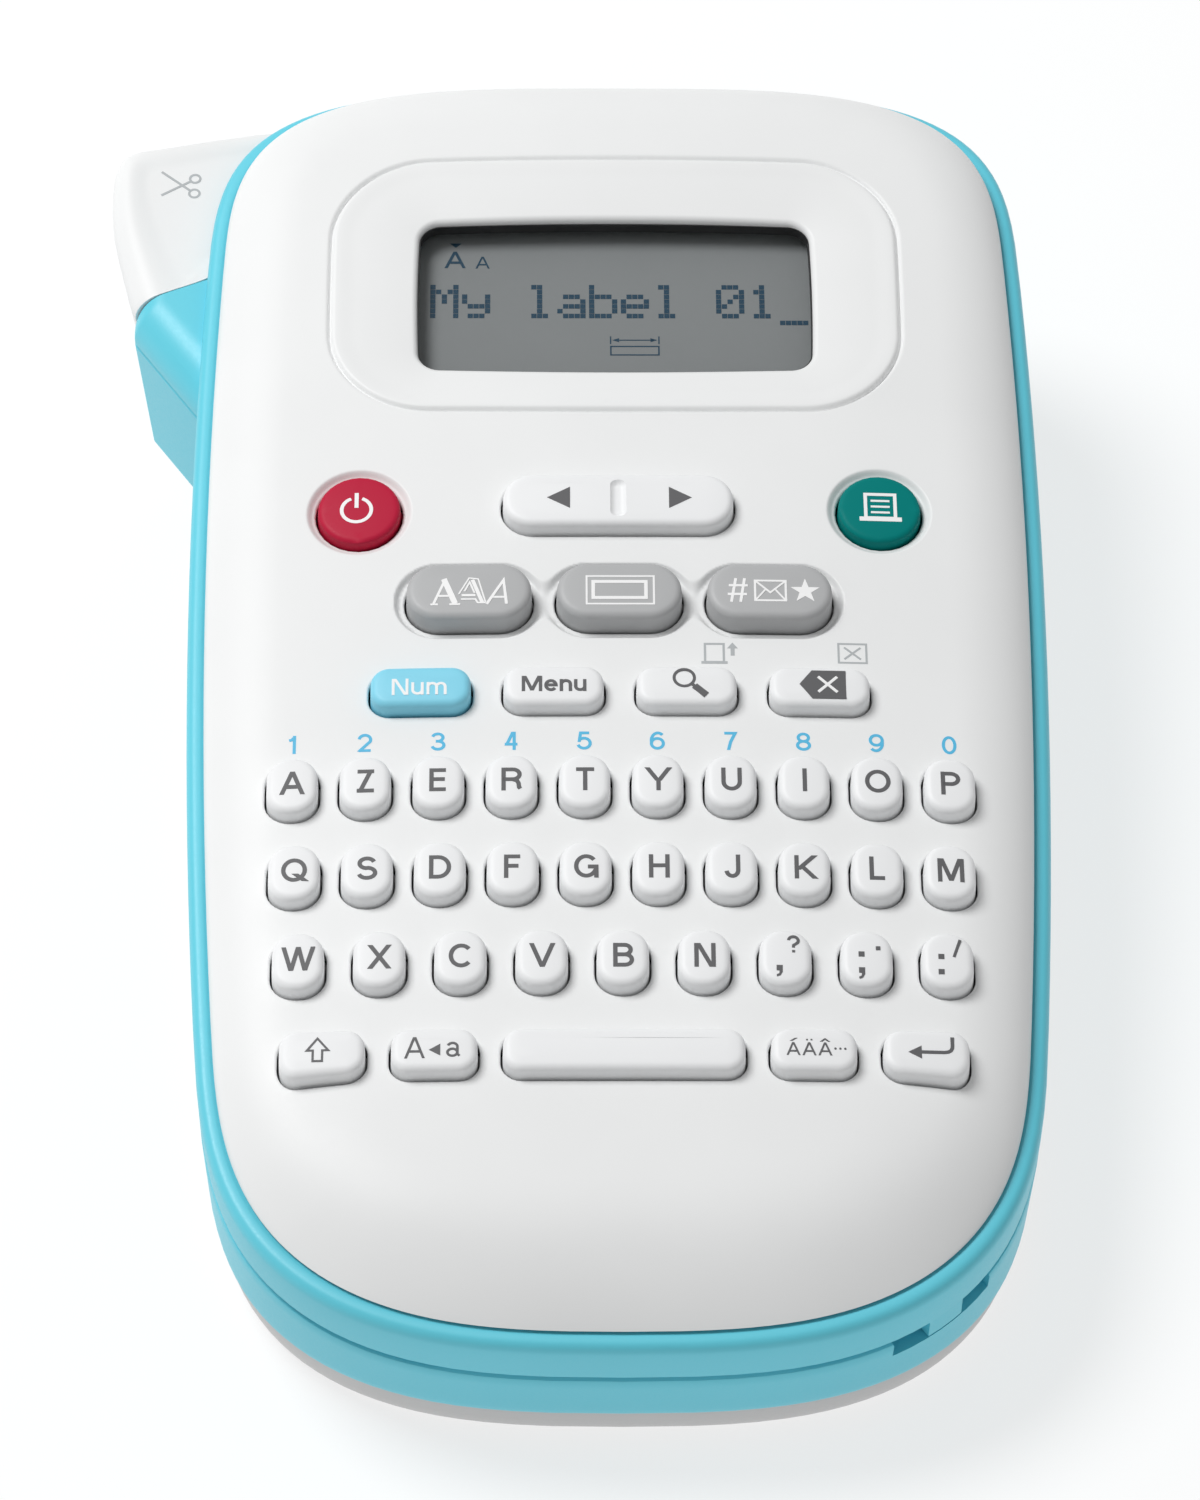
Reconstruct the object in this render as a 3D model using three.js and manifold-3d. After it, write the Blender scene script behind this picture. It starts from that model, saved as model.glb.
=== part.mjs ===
// Handheld label maker: a wedge-shaped body that lies on its back cover, with a
// white front cover full of keys, a two-part blue case, a tape cutter lever on the
// upper left side, a display, and the tape drive inside.
// Units are millimetres. Everything is drawn in the face frame: X to the right,
// Y up the front face and Z straight out of it, with Z = 0 on the key field.
// The last group tilts that frame by TILT so that the back cover lies flat on Z = 0.

import * as THREE from 'three';
import { mergeVertices } from 'three/addons/utils/BufferGeometryUtils.js';
import Module from 'manifold-3d';

const wasm = await Module();
wasm.setup();

// ---------------------------------------------------------------- dimensions

const TILT = THREE.MathUtils.degToRad(7);     // front face against the resting plane
const BASE_AT_ORIGIN = -35.6;                 // resting plane below the face at Y = 0
const ORIGIN_Y = 19.1;                        // middle of the back cover, along the body

const HALF_WIDTH = 49.3;                      // blue case, at its widest
const WIDEST_Y = 34;
const SIDE_RADIUS = 950;                      // long sides are shallow arcs
// Each end runs from `start` to `end`; `power` squares its corners and `bulge`
// (1/mm) bows the end itself.
const TOP_END = { start: 72, end: 102.5, power: 3.7, bulge: 0 };
const LOW_END = { start: -32, end: -72.8, power: 3.3, bulge: 0.001 };
const CORNER_STEPS = 9;

const COVER_INSET = 2.0;                      // front cover inside the case outline
const RIM_Z = -6;                             // where the front cover meets the case
const WALL = 2;
const ROLL = { width: 9, power: 2.2 };         // rounded border of the front cover
// Towards the lower end the border widens into a gentle slope, from y `from` to `to`.
const END_ROLL = { width: 16, power: 2.2, from: -36, to: -66 };
const CROWN_DROP = 0.85;
const CROWN_X = 36;
const CROWN_POWER = 2.5;
const PARTING_Z = -13;                        // between upper and lower case
const GAP = 0.3;
const CASE_WALL = 4.6;
const DECK_TOP = -9.3;
const DECK_BOTTOM = -10.9;
const SKIRT = 4.8;                            // lower case edge above the resting plane
const BACK_HEIGHT = 4.5;

const KEY_RISE = 2.0;
const KEY_CLEARANCE = 0.35;
const FLANGE = 0.6;
const FLANGE_TOP = -3.5;
const FLANGE_LOW = -4.2;
const LETTER = { w: 5.8, h: 7.4, r: 2.7 };
const WIDE = { w: 11.35, h: 5.5, r: 2.2 };
const SOFT = { w: 14.3, h: 7.8, r: 3.8, rise: 2.3 };
const LOW = { y: -40.2, h: 5.5, r: 2.1 };
const BUTTON = { w: 9.6, h: 9.6, r: 4.8, rise: 0.7, steps: 4 };

const WINDOW = { x: 0, y: 65.6, w: 46, h: 22, r: 2.4 };
const DISH = { x: 0, y: 67.2, w: 66.4, h: 38, r: 12 };

// ------------------------------------------------------------------ outlines

const baseZ = (y) => BASE_AT_ORIGIN - y * Math.tan(TILT);
const crown = (x) => CROWN_DROP * (Math.abs(x) / CROWN_X) ** CROWN_POWER;

// Body outline, moved in by `inset` (at the ends, no more than END_INSET); `tuck`
// also pulls in the top end.
const END_INSET = 18;
function outline(inset = 0, tuck = 0) {
  const half = (y) => HALF_WIDTH - inset - (y - WIDEST_Y) ** 2 / (2 * SIDE_RADIUS);
  const corner = ({ start, end, power, bulge }, pull, step) => {
    const angle = (Math.PI / 2) * (step / CORNER_STEPS);
    const across = Math.cos(angle) ** (2 / power);
    const along = Math.sin(angle) ** (2 / power);
    const inwards = Math.sign(start - end);
    const tip = end + inwards * (pull + bulge * (half(start) * across) ** 2);
    const y = start + (tip - start) * along;
    return [half(y) * across, y];
  };
  const low = Math.min(inset, END_INSET);
  const right = [];
  for (let step = CORNER_STEPS - 1; step >= 1; step -= 1) right.push(corner(LOW_END, low, step));
  for (const y of [LOW_END.start, 0, WIDEST_Y, TOP_END.start]) right.push([half(y), y]);
  for (let step = 1; step < CORNER_STEPS; step += 1) {
    right.push(corner(TOP_END, low + tuck, step));
  }
  const left = right.map(([x, y]) => [-x, y]).reverse();
  return [[0, LOW_END.end + low], ...right, [0, TOP_END.end - low - tuck], ...left];
}

// Rounded rectangle about (x, y), grown by `grow`, with `steps` spans per corner. The
// lower edge drops by `slant` towards the right, or towards the left if it is negative.
function roundRect({ x, y, w, h, r, slant = 0 }, grow = 0, steps = 2) {
  const radius = Math.max(r + grow, 0.2);
  const cx = w / 2 + grow - radius;
  const cy = h / 2 + grow - radius;
  const points = [];
  const centres = [[cx, -cy], [cx, cy], [-cx, cy], [-cx, -cy]];
  centres.forEach(([px, py], quarter) => {
    for (let step = 0; step <= steps; step += 1) {
      const angle = (Math.PI / 2) * (quarter - 1 + step / steps);
      const u = px + radius * Math.cos(angle);
      const v = py + radius * Math.sin(angle);
      const share = THREE.MathUtils.clamp(0.5 + (Math.sign(slant) * u) / w, 0, 1);
      const stretch = v < 0 ? 1 + (2 * Math.abs(slant) * share) / h : 1;
      points.push([x + u, y + v * stretch]);
    }
  });
  return points;
}

function circle(x, y, radius, steps = 24) {
  return Array.from({ length: steps }, (_, i) => {
    const angle = (2 * Math.PI * i) / steps;
    return [x + radius * Math.cos(angle), y + radius * Math.sin(angle)];
  });
}

// -------------------------------------------------------------------- solids

// Closed body through rings of equal length, lowest first. A level is a number
// or a function of (x, y).
function loft(rings) {
  const count = rings[0].points.length;
  const positions = [];
  for (const { points, z } of rings) {
    for (const [x, y] of points) positions.push(x, y, typeof z === 'function' ? z(x, y) : z);
  }
  const index = [];
  for (let ring = 0; ring < rings.length - 1; ring += 1) {
    for (let i = 0; i < count; i += 1) {
      const a = ring * count + i;
      const b = ring * count + ((i + 1) % count);
      index.push(a, b, b + count, a, b + count, a + count);
    }
  }
  const cap = (points) => THREE.ShapeUtils.triangulateShape(
    points.map(([x, y]) => new THREE.Vector2(x, y)), []);
  for (const [a, b, c] of cap(rings[0].points)) index.push(c, b, a);
  const top = (rings.length - 1) * count;
  for (const [a, b, c] of cap(rings.at(-1).points)) index.push(top + a, top + b, top + c);
  const geometry = new THREE.BufferGeometry();
  geometry.setAttribute('position', new THREE.Float32BufferAttribute(positions, 3));
  geometry.setIndex(index);
  return geometry;
}

const prism = (points, low, high) => loft([{ points, z: low }, { points, z: high }]);

function solid(geometry) {
  const bare = geometry.clone();
  bare.deleteAttribute('normal');
  bare.deleteAttribute('uv');
  const merged = mergeVertices(bare, 1e-4);
  return new wasm.Manifold(new wasm.Mesh({
    numProp: 3,
    vertProperties: new Float32Array(merged.attributes.position.array),
    triVerts: new Uint32Array(merged.index.array),
  }));
}

function geometryOf(body) {
  const { vertProperties, triVerts } = body.getMesh();
  const geometry = new THREE.BufferGeometry();
  geometry.setAttribute('position', new THREE.Float32BufferAttribute(vertProperties, 3));
  geometry.setIndex([...triVerts]);
  return geometry;
}

const cutAll = (body, cutters) => cutters.reduce((rest, cutter) => rest.subtract(cutter), body);
const prismSolid = (points, low, high) => solid(prism(points, low, high));

const rect = (x0, x1, y0, y1) => [[x0, y0], [x1, y0], [x1, y1], [x0, y1]];
const box = (x0, x1, y0, y1, z0, z1) => prismSolid(rect(x0, x1, y0, y1), z0, z1);

// ----------------------------------------------------------------- materials

function plastic(color, roughness = 0.45) {
  return new THREE.MeshStandardMaterial({ color, roughness, metalness: 0 });
}

const metal = (color) => new THREE.MeshStandardMaterial({ color, roughness: 0.35, metalness: 0.9 });

const WHITE = 0xeceded;
const KEY_WHITE = 0xf2f3f3;
const BLUE = 0x78d6e6;
const GREY = 0xb9bbbc;

const face = new THREE.Group();
face.rotation.x = TILT;
face.position.set(0, -ORIGIN_Y, -BASE_AT_ORIGIN * Math.cos(TILT));

function addPiece(name, geometry, material) {
  const mesh = new THREE.Mesh(geometry, material);
  mesh.name = name;
  face.add(mesh);
}

// ---------------------------------------------------------------------- keys

function row(names, centreX, y, pitch, shape) {
  return names.map((name, i) => ({
    name, x: centreX + (i - (names.length - 1) / 2) * pitch, y, ...shape,
  }));
}

const keys = [
  ...row(['a', 'z', 'e', 'r', 't', 'y', 'u', 'i', 'o', 'p'], 0.11, -5.3, 8.126, LETTER),
  ...row(['q', 's', 'd', 'f', 'g', 'h', 'j', 'k', 'l', 'm'], 0.12, -16.9, 8.03, LETTER),
  ...row(['w', 'x', 'c', 'v', 'b', 'n', 'comma', 'semicolon', 'colon'],
    0.11, -28.5, 8.86, LETTER),
  ...row(['num', 'menu', 'preview', 'backspace'], 0.11, 7.7, 14.94, WIDE),
  ...row(['style', 'frame', 'symbol'], 0.12, 20.7, 17.05, SOFT),
  { name: 'shift', x: -32.5, w: 9.4, slant: -0.7, ...LOW },
  { name: 'caps', x: -20.37, w: 9.45, ...LOW },
  { name: 'space', x: 0.15, w: 26.3, ...LOW },
  { name: 'accent', x: 20.66, w: 9.4, ...LOW },
  { name: 'enter', x: 32.84, w: 9.4, slant: 0.7, ...LOW },
  { name: 'cursor', x: 0.1, y: 33.75, w: 26.5, h: 7.5, r: 3.5 },
  { name: 'power', x: -29.6, y: 33.5, ...BUTTON },
  { name: 'print', x: 30.1, y: 33.7, ...BUTTON },
];

const KEY_COLOURS = { power: 0xbe2d4b, print: 0x007d73, num: 0x87daeb,
  style: GREY, frame: GREY, symbol: GREY };

const SHOULDER = { inset: 0.55, drop: 0.6 };

// A key cap with a shouldered top edge on a flange that stays under the cover.
function keyGeometry(key) {
  const rise = key.rise ?? KEY_RISE;
  const ring = (grow, z) => ({
    points: roundRect(key, grow, key.steps),
    z: (x) => z - crown(x),
  });
  return loft([
    ring(FLANGE, FLANGE_LOW), ring(FLANGE, FLANGE_TOP), ring(0, FLANGE_TOP),
    ring(0, rise - SHOULDER.drop), ring(-SHOULDER.inset, rise),
  ]);
}

for (const key of keys) {
  addPiece(`key_${key.name}`, keyGeometry(key), plastic(KEY_COLOURS[key.name] ?? KEY_WHITE, 0.4));
}

// --------------------------------------------------------------- front cover

// Drop of the rounded border at a distance `d` in from the cover's edge: 1 at the
// edge, 0 where the border ends.
function roll(d, y) {
  const near = Math.max(0, 1 - d / ROLL.width);
  const side = 1 - Math.sqrt(1 - near ** ROLL.power);
  const end = Math.max(0, 1 - d / END_ROLL.width) ** END_ROLL.power;
  const share = 1 - THREE.MathUtils.smoothstep(y, END_ROLL.to, END_ROLL.from);
  return side + (end - side) * share;
}

function coverBody(offset) {
  const ring = (d) => ({
    points: outline(COVER_INSET + offset + d),
    z: (x, y) => -crown(x) - (-RIM_Z - crown(x)) * roll(d, y) - offset,
  });
  const skirt = { points: outline(COVER_INSET + offset), z: RIM_Z - offset - (offset ? 2 : 0) };
  const rings = [0.3, 1, 2.2, 4, 6.3, ROLL.width, 12, END_ROLL.width, 26, 36].map(ring);
  return solid(loft([skirt, ...(offset ? [ring(0)] : []), ...rings]));
}

const DISH_EDGE_Z = -0.2;
const DISH_FLOOR_Z = -1.0;
const dishRim = roundRect(DISH, 0, 6);
const dishFloor = roundRect({ ...WINDOW, r: 3.4 }, 1.5, 6);
const dishCut = solid(loft([
  { points: dishFloor, z: DISH_FLOOR_Z }, { points: dishRim, z: DISH_EDGE_Z },
  { points: dishRim, z: 2 },
]));

const SOFT_RECESS = 1.1;
const BUTTON_RECESS = 1.2;
const RECESS_DEPTH = 0.5;
const RECESSED = ['style', 'frame', 'symbol', 'power', 'print'];
const recesses = keys
  .filter(({ name }) => RECESSED.includes(name))
  .map((key) => {
    const grow = key.steps ? BUTTON_RECESS : SOFT_RECESS;
    return prismSolid(roundRect(key, grow, 5), -RECESS_DEPTH - crown(key.x), 3);
  });

const apertures = keys.map((key) =>
  prismSolid(roundRect(key, KEY_CLEARANCE, key.steps), -5, 3));

addPiece('front_cover', geometryOf(cutAll(coverBody(0), [
  coverBody(WALL), dishCut, ...recesses, ...apertures,
  prismSolid(roundRect(WINDOW, 0, 3), -5, 3),
])), plastic(WHITE, 0.4));

// -------------------------------------------------- cutter, its pocket and guard

const LEVER_TOP = -8.2;
const LEVER_BOTTOM = -28;
const PIVOT = [-47, 71.5];
const TONGUE = { top: -15, bottom: -24, radius: 3.3, hole: 1.7, pin: 1.35 };

// The guard stands out of the side below the lever; `back` moves its outer wall in
// and `slip` moves its outer corner down along that wall.
const GUARD = { corner: [-57.2, 68], wallSlope: -1.43, insideX: -45.5, topY: 76.8 };
const GUARD_END = [[0.9, 2.6], [0.05, 1.7]];
function guardRing(back, z, slip = 0) {
  const x = GUARD.corner[0] + 0.8 * back + 0.57 * slip;
  const y = GUARD.corner[1] + 0.6 * back - 0.82 * slip;
  const meetsY = y + GUARD.wallSlope * (GUARD.insideX - x);
  const end = GUARD_END.map(([dx, dy]) => [x + dx, y + dy]);
  return { points: [[x, y], [GUARD.insideX, meetsY], [GUARD.insideX, GUARD.topY], ...end], z };
}

// Everything the lever sweeps through, cut out of both halves of the case.
const sweep = [
  [-63, 67.7], [-56.4, 70.5], [-47.6, 74.2], [-43.4, 76.5], [-38, 82], [-29.8, 84.5],
  [-29.8, 94], [-36.4, 94.5], [-36.4, 103], [-63, 103],
];
const leverRoom = prismSolid(sweep, LEVER_BOTTOM - 0.6, LEVER_TOP + GAP);
const pocket = prismSolid(circle(...PIVOT, TONGUE.radius + 0.5, 20),
  TONGUE.bottom - 0.4, TONGUE.top + 0.4)
  .add(box(-51, -43.7, 71.5, 80, TONGUE.bottom - 0.4, TONGUE.top + 0.4));
const pivotPin = prismSolid(circle(...PIVOT, TONGUE.pin, 12), TONGUE.bottom - 1, TONGUE.top + 1);

const leverPlan = [
  [-57.0, 70.9], [-58.9, 76.7], [-60.1, 82.2], [-60.5, 87], [-60.4, 91.4], [-59.0, 94.4],
  [-49.5, 96.5], [-41.2, 97.9], [-42.6, 91], [-46.0, 78.4], [-48.4, 74.6],
].reverse();
const LEVER_ROUND = 1.6;
const LEVER_DRAFT = 1.4;
const LEVER_CENTRE = [-49.5, 84];
const leverRing = (pull, z) => ({
  points: leverPlan.map(([x, y]) => {
    const dx = LEVER_CENTRE[0] - x;
    const dy = LEVER_CENTRE[1] - y;
    const length = Math.hypot(dx, dy);
    return [x + (dx / length) * pull, y + (dy / length) * pull];
  }),
  z,
});
const leverBody = solid(loft([
  leverRing(LEVER_DRAFT, LEVER_BOTTOM), leverRing(0, LEVER_TOP - LEVER_ROUND),
  leverRing(LEVER_ROUND, LEVER_TOP),
]));
const tongueArm = [[-50.2, 72.4], [-44.6, 73.4], [-45.4, 79], [-50.4, 78]];
const lever = leverBody
  .add(prismSolid(circle(...PIVOT, TONGUE.radius, 20), TONGUE.bottom, TONGUE.top))
  .add(prismSolid(tongueArm, TONGUE.bottom, TONGUE.top))
  .subtract(prismSolid(circle(...PIVOT, TONGUE.hole, 12), TONGUE.bottom - 2, TONGUE.top + 2));
addPiece('cutter_lever', geometryOf(lever), plastic(WHITE, 0.4));

const BLADE = { from: [-40.7, 91.6], to: [-34.5, 88.9], thickness: 0.5, low: -26, high: -12 };
const bladeRun = [BLADE.to[0] - BLADE.from[0], BLADE.to[1] - BLADE.from[1]];
const bladeLength = Math.hypot(...bladeRun);
const bladeSide = [
  (-bladeRun[1] / bladeLength) * BLADE.thickness, (bladeRun[0] / bladeLength) * BLADE.thickness];
addPiece('cutter_blade', prism([
  BLADE.from, BLADE.to, [BLADE.to[0] + 0.6 * bladeSide[0], BLADE.to[1] + 0.6 * bladeSide[1]],
  [BLADE.from[0] + bladeSide[0], BLADE.from[1] + bladeSide[1]],
], BLADE.low, BLADE.high), metal(0xc8cacc));

// Strap anchor at the lower right corner: two slots under the parting line, joined
// behind a bar that hangs from the upper case.
const STRAP = { width: 4.5, height: 3, depth: 3.6, bar: 1.6 };
const strapSlots = [[31.0, -67.1], [38.2, -61.4]];
const strapRun = [strapSlots[1][0] - strapSlots[0][0], strapSlots[1][1] - strapSlots[0][1]];
const strapPitch = Math.hypot(...strapRun);
const strapMiddle = [strapSlots[0][0] + strapRun[0] / 2, strapSlots[0][1] + strapRun[1] / 2];

// Block along the strap's run, from `low` to `high` in from the wall.
function strapBlock(width, low, high, bottom, top) {
  const [x, y] = strapMiddle;
  const c = strapRun[0] / strapPitch;
  const s = strapRun[1] / strapPitch;
  const plan = rect(-width / 2, width / 2, low, high)
    .map(([u, v]) => [x + u * c - v * s, y + u * s + v * c]);
  return prismSolid(plan, bottom, top);
}

const strapRoom = strapBlock(strapPitch + STRAP.width, -4, STRAP.depth,
  PARTING_Z - STRAP.height, PARTING_Z);
const strapBar = strapBlock(strapPitch - STRAP.width, -4, STRAP.bar,
  PARTING_Z - STRAP.height + GAP, PARTING_Z + 1)
  .intersect(prismSolid(outline(0.15), -20, -5));

// ---------------------------------------------------------------- upper case

const guardTop = solid(loft([
  guardRing(0, PARTING_Z), guardRing(0.35, -11.6), guardRing(1.3, -10.2),
  guardRing(2.9, -9.1), guardRing(5.2, -8.5),
]));
const upperShell = solid(loft([
  { points: outline(0.35), z: PARTING_Z }, { points: outline(0.1), z: PARTING_Z + 0.4 },
  { points: outline(0), z: -7.7 }, { points: outline(0.25), z: -6.9 },
  { points: outline(0.9), z: -6.4 }, { points: outline(COVER_INSET - 0.2), z: RIM_Z - GAP },
])).add(guardTop);
const upperHollow = solid(loft([
  { points: outline(2.4), z: PARTING_Z - 1 }, { points: outline(2.4), z: -7.9 },
  { points: outline(COVER_INSET + WALL + 0.2), z: -7.8 },
  { points: outline(COVER_INSET + WALL + 0.2), z: -5 },
]));
const upperCase = cutAll(upperShell, [upperHollow, leverRoom]).add(strapBar);
addPiece('upper_case', geometryOf(upperCase), plastic(BLUE, 0.45));

// ---------------------------------------------------------------- lower case

const TOP_TUCK = 2.5;
const skirtZ = (x, y) => baseZ(y) + SKIRT;
const slantPrism = (points, top, lift) =>
  solid(loft([{ points, z: (x, y) => baseZ(y) + lift }, { points, z: top }]));

const lowerOuter = solid(loft([
  { points: outline(0.9, TOP_TUCK), z: skirtZ },
  { points: outline(0.4, TOP_TUCK * 0.9), z: (x, y) => skirtZ(x, y) + 1.2 },
  { points: outline(0.1), z: PARTING_Z - GAP - 0.5 },
  { points: outline(0.35), z: PARTING_Z - GAP },
]));
const inner = outline(CASE_WALL, TOP_TUCK);
const deckBlock = prismSolid(outline(2.8, TOP_TUCK), PARTING_Z - 1, DECK_TOP);
const cavity = slantPrism(inner, DECK_BOTTOM, 0);
const guardLow = solid(loft([
  guardRing(1.2, -31, 2.2), guardRing(0.4, -30.2, 2), guardRing(0, PARTING_Z - GAP),
]));

const BATTERY_BAY = { x: 13, y0: -66, y1: 26 };
const MOTOR_RIB_X = -21.6;
const RIB = 1.6;
const RIB_LIFT = 4.2;
const ribs = [
  rect(-43.5, 43.5, BATTERY_BAY.y1, BATTERY_BAY.y1 + RIB),
  rect(BATTERY_BAY.x, BATTERY_BAY.x + RIB, BATTERY_BAY.y0, BATTERY_BAY.y1 + 1),
  rect(-BATTERY_BAY.x - RIB, -BATTERY_BAY.x, BATTERY_BAY.y0, BATTERY_BAY.y1 + 1),
  rect(MOTOR_RIB_X, MOTOR_RIB_X + RIB, BATTERY_BAY.y1 + 1, 66),
].map((plan) => slantPrism(plan, DECK_TOP - 0.5, RIB_LIFT));

const TAPE_SLOT = { x0: -34.5, x1: -32.3, y0: 91, y1: 108, low: -27.5, high: -13.9 };
const tapeSlot = box(TAPE_SLOT.x0, TAPE_SLOT.x1, TAPE_SLOT.y0, TAPE_SLOT.y1,
  TAPE_SLOT.low, TAPE_SLOT.high);

const lowerShell = ribs.reduce((body, rib) => body.add(rib),
  lowerOuter.add(deckBlock).subtract(cavity)).add(guardLow);
const lowerCase = cutAll(lowerShell, [leverRoom, pocket, tapeSlot, strapRoom]).add(pivotPin);
addPiece('lower_case', geometryOf(lowerCase), plastic(BLUE, 0.45));

// ---------------------------------------------------------------- back cover

const backRing = (inset, lift) => ({
  points: outline(inset, TOP_TUCK), z: (x, y) => baseZ(y) + lift,
});
const backTray = solid(loft([
  backRing(2.8, 0), backRing(1.8, 0.5), backRing(1.25, 1.6), backRing(1.1, BACK_HEIGHT),
]));
const backHollow = solid(loft([backRing(CASE_WALL, 2), backRing(CASE_WALL, 6)]));
const thumbGrip = { x: 0, y: 86, w: 24, h: 9, r: 4 };
const gripCut = solid(loft([
  { points: roundRect(thumbGrip, 0, 4), z: (x, y) => baseZ(y) - 1 },
  { points: roundRect(thumbGrip, -0.8, 4), z: (x, y) => baseZ(y) + 0.8 },
]));
addPiece('back_cover', geometryOf(backTray.subtract(backHollow).subtract(gripCut)),
  plastic(WHITE, 0.5));

// ------------------------------------------------------------ display, board

const GLASS = { low: -4.2, high: -3.1, margin: 1.6 };
const PANEL = { low: -6.2, high: -4.5, margin: 3 };
const BOARD = { low: -8.3, high: -6.7 };
addPiece('display_window', prism(roundRect(WINDOW, GLASS.margin, 3), GLASS.low, GLASS.high),
  plastic(0xcfd8da, 0.08));
addPiece('display_panel', prism(roundRect({ ...WINDOW, r: 1.2 }, PANEL.margin), PANEL.low, PANEL.high),
  plastic(0x878c8b, 0.6));
addPiece('circuit_board', prism([
  [-30, -46], [30, -46], [40, -38], [41, 44], [33, 50], [33, 80], [-27, 80], [-27, 50],
  [-41, 46], [-40, -38],
], BOARD.low, BOARD.high), plastic(0x1f6b46, 0.5));

// -------------------------------------------------------- tape drive, supplies

const ROLLER = { x: -29, y: 79, r: 4, low: -26.8, high: -11.6 };
addPiece('platen_roller', prism(circle(ROLLER.x, ROLLER.y, ROLLER.r, 20), ROLLER.low, ROLLER.high),
  plastic(0x2b2c2e, 0.8));
const headPlate = box(-35.2, -34, 74, 84, -26, -12);
const headBlock = box(-37.2, -34.8, 76, 82, -24, -14);
addPiece('print_head', geometryOf(headPlate.add(headBlock)), metal(0xb8b9ba));

const GEAR = { teeth: 16, root: 5.9, tip: 7, low: -30, high: -27.3 };

// One tooth is a root, a flank up, a tip and a flank down, as shares of its pitch.
function gearPoints({ teeth, root, tip }, x, y) {
  const points = [];
  for (let tooth = 0; tooth < teeth; tooth += 1) {
    for (const [offset, radius] of [[0, root], [0.3, root], [0.42, tip], [0.72, tip]]) {
      const angle = (2 * Math.PI * (tooth + offset)) / teeth;
      points.push([x + radius * Math.cos(angle), y + radius * Math.sin(angle)]);
    }
  }
  return points;
}
addPiece('feed_gear', prism(gearPoints(GEAR, ROLLER.x, ROLLER.y), GEAR.low, GEAR.high),
  plastic(0xe6e2d6, 0.5));

const MOTOR = { x: -33.5, y: 69.7, r: 8.4, low: -39.4, high: -30.8, pinion: 2.7 };
const motorCan = prismSolid(circle(MOTOR.x, MOTOR.y, MOTOR.r, 24), MOTOR.low, MOTOR.high);
const motorPinion = prismSolid(circle(MOTOR.x, MOTOR.y, MOTOR.pinion, 12), MOTOR.high - 1, GEAR.high);
addPiece('feed_motor', geometryOf(motorCan.add(motorPinion)), metal(0xa9abad));

const CASSETTE = { x: 10, y: 63, w: 58, h: 50, r: 4, low: -36.4, high: -18.8, chamfer: 0.8 };
const cassetteRing = (grow, z) => ({ points: roundRect(CASSETTE, grow, 3), z });
addPiece('tape_cassette', loft([
  cassetteRing(-CASSETTE.chamfer, CASSETTE.low), cassetteRing(0, CASSETTE.low + CASSETTE.chamfer),
  cassetteRing(0, CASSETTE.high - CASSETTE.chamfer), cassetteRing(-CASSETTE.chamfer, CASSETTE.high),
]), plastic(0xd9d8d2, 0.5));

// Two AAA cells end to end make one row.
const CELL = { r: 5.15, length: 44.5, tip: 1.9, tipLength: 0.8 };
const CELL_ROW = { x: 5.8, y: -65.4, z: -17.6 };
const cellProfile = [0, CELL.length].flatMap((start) => [
  new THREE.Vector2(CELL.r, start), new THREE.Vector2(CELL.r, start + CELL.length - CELL.tipLength),
  new THREE.Vector2(CELL.tip, start + CELL.length - CELL.tipLength),
  new THREE.Vector2(CELL.tip, start + CELL.length),
]);
const rowProfile = [new THREE.Vector2(0, 0), ...cellProfile, new THREE.Vector2(0, 2 * CELL.length)];
[-1, 1].forEach((side) => {
  const geometry = geometryOf(solid(new THREE.LatheGeometry(rowProfile, 16)));
  geometry.translate(side * CELL_ROW.x, CELL_ROW.y, CELL_ROW.z);
  addPiece(side < 0 ? 'battery_row_left' : 'battery_row_right', geometry, plastic(0x3c4650, 0.4));
});

const labelMaker = new THREE.Group();
labelMaker.name = 'label_maker';
labelMaker.add(face);
export default labelMaker;
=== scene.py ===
import math

import bpy
import bmesh
import numpy as np
from mathutils import Matrix, Vector
from mathutils.geometry import delaunay_2d_cdt


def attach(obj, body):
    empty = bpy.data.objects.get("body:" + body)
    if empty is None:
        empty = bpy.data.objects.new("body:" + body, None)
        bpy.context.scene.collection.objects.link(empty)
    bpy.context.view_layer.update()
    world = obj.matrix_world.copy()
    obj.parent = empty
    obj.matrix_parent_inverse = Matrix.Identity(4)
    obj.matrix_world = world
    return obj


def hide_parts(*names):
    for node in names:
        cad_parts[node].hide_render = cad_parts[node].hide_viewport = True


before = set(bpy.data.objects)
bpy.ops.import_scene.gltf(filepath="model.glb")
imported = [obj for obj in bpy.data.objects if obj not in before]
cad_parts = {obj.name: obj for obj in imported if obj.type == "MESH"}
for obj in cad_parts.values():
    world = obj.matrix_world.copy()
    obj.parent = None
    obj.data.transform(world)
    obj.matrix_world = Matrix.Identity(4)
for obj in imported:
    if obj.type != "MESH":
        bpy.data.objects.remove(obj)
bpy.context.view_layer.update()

# Lengths are millimetres in the face frame: X to the right, Y up the front face and
# Z straight out of it. FACE takes that frame to the row frame in metres.
MM = 0.001
TILT = math.radians(7)
BASE_AT_ORIGIN, ORIGIN_Y = -35.6, 19.1
FACE = (Matrix.Translation((0, -ORIGIN_Y * MM, -BASE_AT_ORIGIN * math.cos(TILT) * MM))
        @ Matrix.Rotation(TILT, 4, "X") @ Matrix.Scale(MM, 4))
TO_FACE = FACE.inverted()


def face_box(node):
    """Lowest and highest corner of a CAD node in the face frame."""
    co = np.array([TO_FACE @ v.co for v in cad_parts[node].data.vertices])
    return co.min(0), co.max(0)


# ------------------------------------------------------------------ materials

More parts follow.
